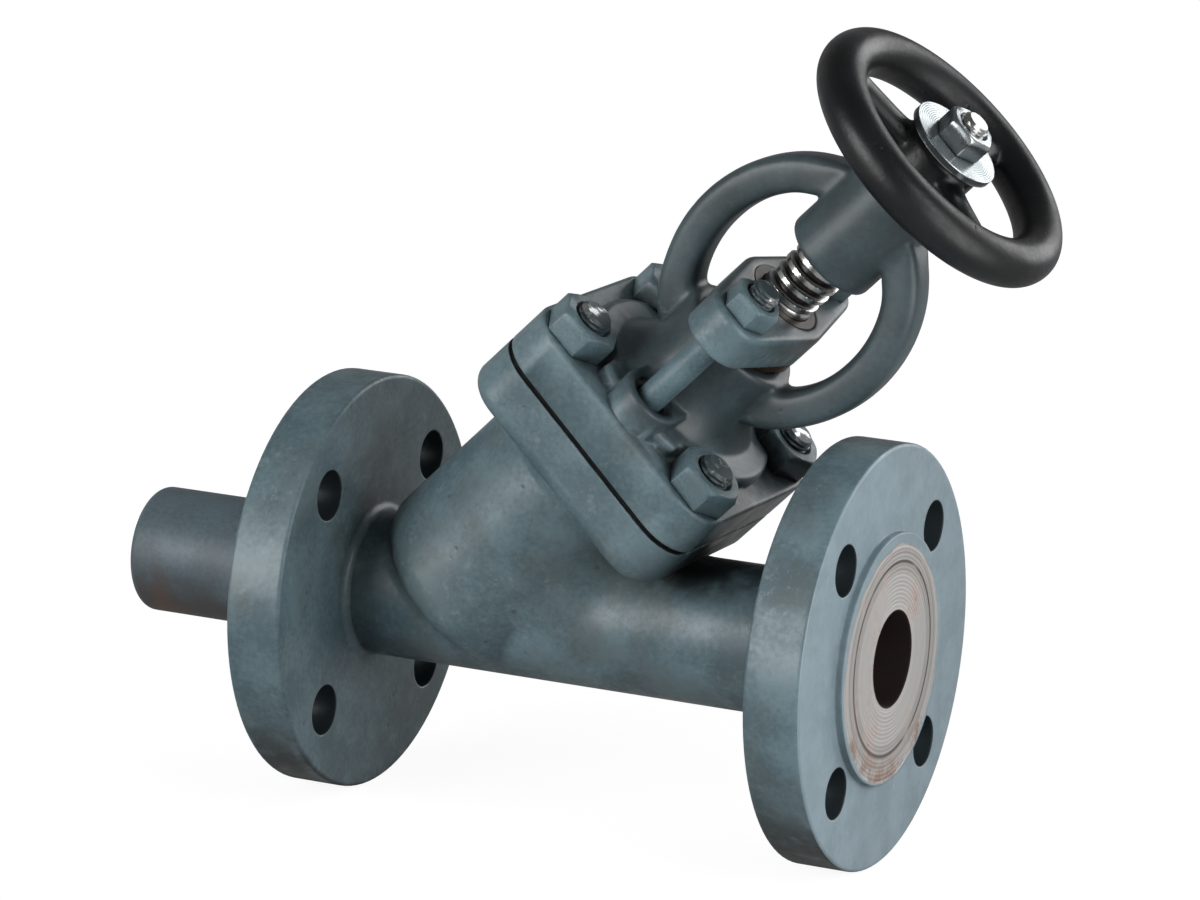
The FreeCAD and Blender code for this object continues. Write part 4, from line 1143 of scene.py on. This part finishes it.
# %% Stem
greased_steel, shader, vector = start("greased stem steel")
stem = use(axis_place, vector, **STEM)
rings = use(turned_rings, vector, Distance=stem["Along"], Pitch=0.0004)
level = stem["Radius"] + (noise(vector, 240.0, 5.0, 0.65) - 0.5) * 0.0016
in_thread = (stem["Along"] > 0.131) * (stem["Along"] < 0.184)
grease = clamped(fall(level, 0.0066, 0.0078) * in_thread)
bright = blend(rings["Tone"], srgb(196, 196, 194), srgb(224, 224, 222))
feed(shader, Base_Color=blend(grease, bright, srgb(30, 27, 25)), Roughness=between(grease, 0.24, 0.34),
     Metallic=1.0 - grease)
relief(shader, rings["Height"] * 0.2, 0.02)
dress(greased_steel, threaded_stem)

# %% [markdown]
# The wheel's washer and nut are the only new parts on the valve. Zinc plate is bright but cloudy,
# with paler edges and a little dirt where nut and washer meet.

# %% Zinc plate
zinc, shader, vector = start("bright zinc plate")
rings = use(turned_rings, vector, Distance=use(axis_place, vector, **STEM)["Radius"], Pitch=0.0006)
edge = use(worn_edge, vector, Radius=0.0005, Strength=0.8)
corner_dark = use(shade_and_dirt, vector, Reach=0.003, Amount=0.8)["Mask"]
cloudy = noise(vector, 130.0, 5.0)
colour = coats(blend(ramp(cloudy, 0.35, 0.65), srgb(168, 176, 180), srgb(204, 210, 212)),
               (edge["Mask"], srgb(238, 240, 240)), (corner_dark, srgb(60, 60, 58)))
feed(shader, Base_Color=colour, Roughness=between(ramp(cloudy, 0.3, 0.7), 0.3, 0.2), Metallic=0.95)
relief(shader, rings["Height"] * 0.25 + cloudy, 0.03, edge["Normal"])
dress(zinc, nodes["wheel_washer"], wheel_nut)

# %% [markdown]
# The wheel is black stoving enamel over rough iron. It is nearly black, but its gloss is broken by
# the sand's grain, so highlights come out grey and soft.

# %% Handwheel
wheel_black, shader, vector = start("black enamel on rough iron")
skin = use(cast_skin, vector, Grain=1.4)
edge = use(worn_edge, vector, Radius=0.0012, Strength=0.5)
rubbed = ramp(noise(vector, 45.0, 4.0), 0.5, 0.75) * 0.5
colour = coats(blend(skin["Mottle"], srgb(8, 9, 10), srgb(20, 23, 26)), (rubbed, srgb(36, 41, 46)))
feed(shader, Base_Color=colour, Roughness=between(skin["Mottle"], 0.46, 0.30), Metallic=0.0,
     Specular_IOR_Level=0.5)
relief(shader, skin["Height"], 0.16, edge["Normal"])
dress(wheel_black, handwheel)

# %% [markdown]
# Gunmetal, packing and gasket are small but they make the joints read: a warm ring on the yoke, a
# dark line between the square flanges. Below the yoke, oil has darkened the gunmetal.

# %% Gunmetal
gunmetal, shader, vector = start("gunmetal")
stem = use(axis_place, vector, **STEM)
rings = use(turned_rings, vector, Distance=stem["Radius"], Pitch=0.0005)
tarnish = noise(vector, 110.0, 5.0)
darkened_zone = stem["Along"] < 0.140
colour = coats(blend(ramp(tarnish, 0.35, 0.7), srgb(172, 140, 92), srgb(112, 88, 62)),
               (darkened_zone, blend(tarnish, srgb(34, 29, 26), srgb(70, 58, 46))))
feed(shader, Base_Color=colour, Roughness=between(tarnish, 0.28, 0.5), Metallic=between(darkened_zone, 0.9, 0.3))
relief(shader, rings["Height"], 0.01)
dress(gunmetal, nodes["yoke_bush"], nodes["gland_follower"])

# %% Graphite and inner trim
graphite, shader, vector = start("graphite sheet and packing")
fibres = noise(vector, 420.0, 5.0, 0.7)
feed(shader, Base_Color=blend(ramp(fibres, 0.4, 0.62), srgb(10, 10, 11), srgb(24, 24, 26)),
     Roughness=between(fibres, 0.85, 0.6), Metallic=0.0, Specular_IOR_Level=0.2)
relief(shader, fibres, 0.12)
dress(graphite, nodes["bonnet_gasket"], nodes["packing_rings"])

trim, shader, vector = start("turned stainless trim")
rings = use(turned_rings, vector, Distance=use(axis_place, vector, **STEM)["Radius"], Pitch=0.0006)
feed(shader, Base_Color=blend(rings["Tone"], srgb(184, 184, 182), srgb(214, 213, 210)),
     Roughness=between(rings["Tone"], 0.22, 0.34), Metallic=1.0)
relief(shader, rings["Height"], 0.008)
dress(trim, *(nodes[name] for name in ("seat_ring", "disc", "disc_nut", "thrust_pad", "back_seat_bush",
                                       "packing_base_ring")))
print("materials:", len(bpy.data.materials))

# %% [markdown]
# The valve stands on a plain pale floor. Floor and sky are white to the camera, but they send no
# more light to the valve than a grey sheet would. Light Path tells them who is looking.

# %% Floor
FLOOR_Z, FLOOR_HALF = min(cad_box[0][2], 0.0), 6.0
WHITE, FLOOR_GREY = (1.0, 1.0, 1.0, 1.0), (0.22, 0.22, 0.22, 1.0)
floor_mesh = bpy.data.meshes.new("floor")
floor_corners = [(x * FLOOR_HALF, y * FLOOR_HALF, FLOOR_Z) for x, y in ((-1, -1), (1, -1), (1, 1), (-1, 1))]
floor_mesh.from_pydata(floor_corners, [], [(0, 1, 2, 3)])
floor = bpy.data.objects.new("floor", floor_mesh)
scene.collection.objects.link(floor)
paper, shader, vector = start("pale floor")
rays = all_outputs(node(shader.id_data, "LightPath"))
seen = either(either(rays["Is Camera Ray"], rays["Is Transmission Ray"]), rays["Is Glossy Ray"] * 0.25)
feed(shader, Base_Color=FLOOR_GREY, Roughness=0.95, Emission_Color=WHITE, Emission_Strength=seen * 0.91)
dress(paper, floor)

# %% Sky
world = bpy.data.worlds.new("studio")
world.use_nodes = True
scene.world = world
direction = node(world.node_tree, "TexCoord", output="Generated")
rise = node(world.node_tree, "SeparateXYZ", {0: direction}, "Z")
rays = all_outputs(node(world.node_tree, "LightPath"))
mirrored = either(rays["Is Glossy Ray"], rays["Is Transmission Ray"])
strength = between(mirrored, 0.13, between(ramp(rise, 0.25, 0.75), 0.25, 0.10))
feed(world.node_tree.nodes["Background"], Strength=between(rays["Is Camera Ray"], strength, 1.0), Color=WHITE)

# %% [markdown]
# A broad soft sun low in front and to the left draws the valve's forms. A weaker one on the right
# reaches the faces that look along the stem, and one behind does for the back what the first does
# for the front. A lamp near the outlet lights its face: being near, it hardly reaches the inlet.

# %% Lamps
def add_lamp(name, kind, foot, toward_lamp):
    """A lamp that stands at a place. The light comes from the direction toward_lamp."""
    lamp = bpy.data.objects.new(name, bpy.data.lights.new(name, kind))
    turn = Vector(toward_lamp).to_track_quat("Z", "Y").to_matrix().to_4x4()
    lamp.matrix_world = Matrix.Translation(foot) @ turn
    scene.collection.objects.link(lamp)
    return lamp


for name, toward_lamp, strength, spread in (("key", (-0.45, -0.80, 0.21), 1.90, 40),
                                            ("right", (0.87, -0.22, 0.42), 0.55, 30),
                                            ("back", (0.46, 0.84, 0.24), 1.05, 40)):
    sun = add_lamp(name, "SUN", (0.0, 0.0, 0.0), toward_lamp).data
    sun.energy, sun.angle = strength, np.radians(spread)
softbox = add_lamp("outlet_softbox", "AREA", (0.430, -0.110, 0.060), (0.258, -0.110, 0.060))
softbox.data.energy, softbox.data.size = 0.42, 0.22
softbox.visible_camera = False
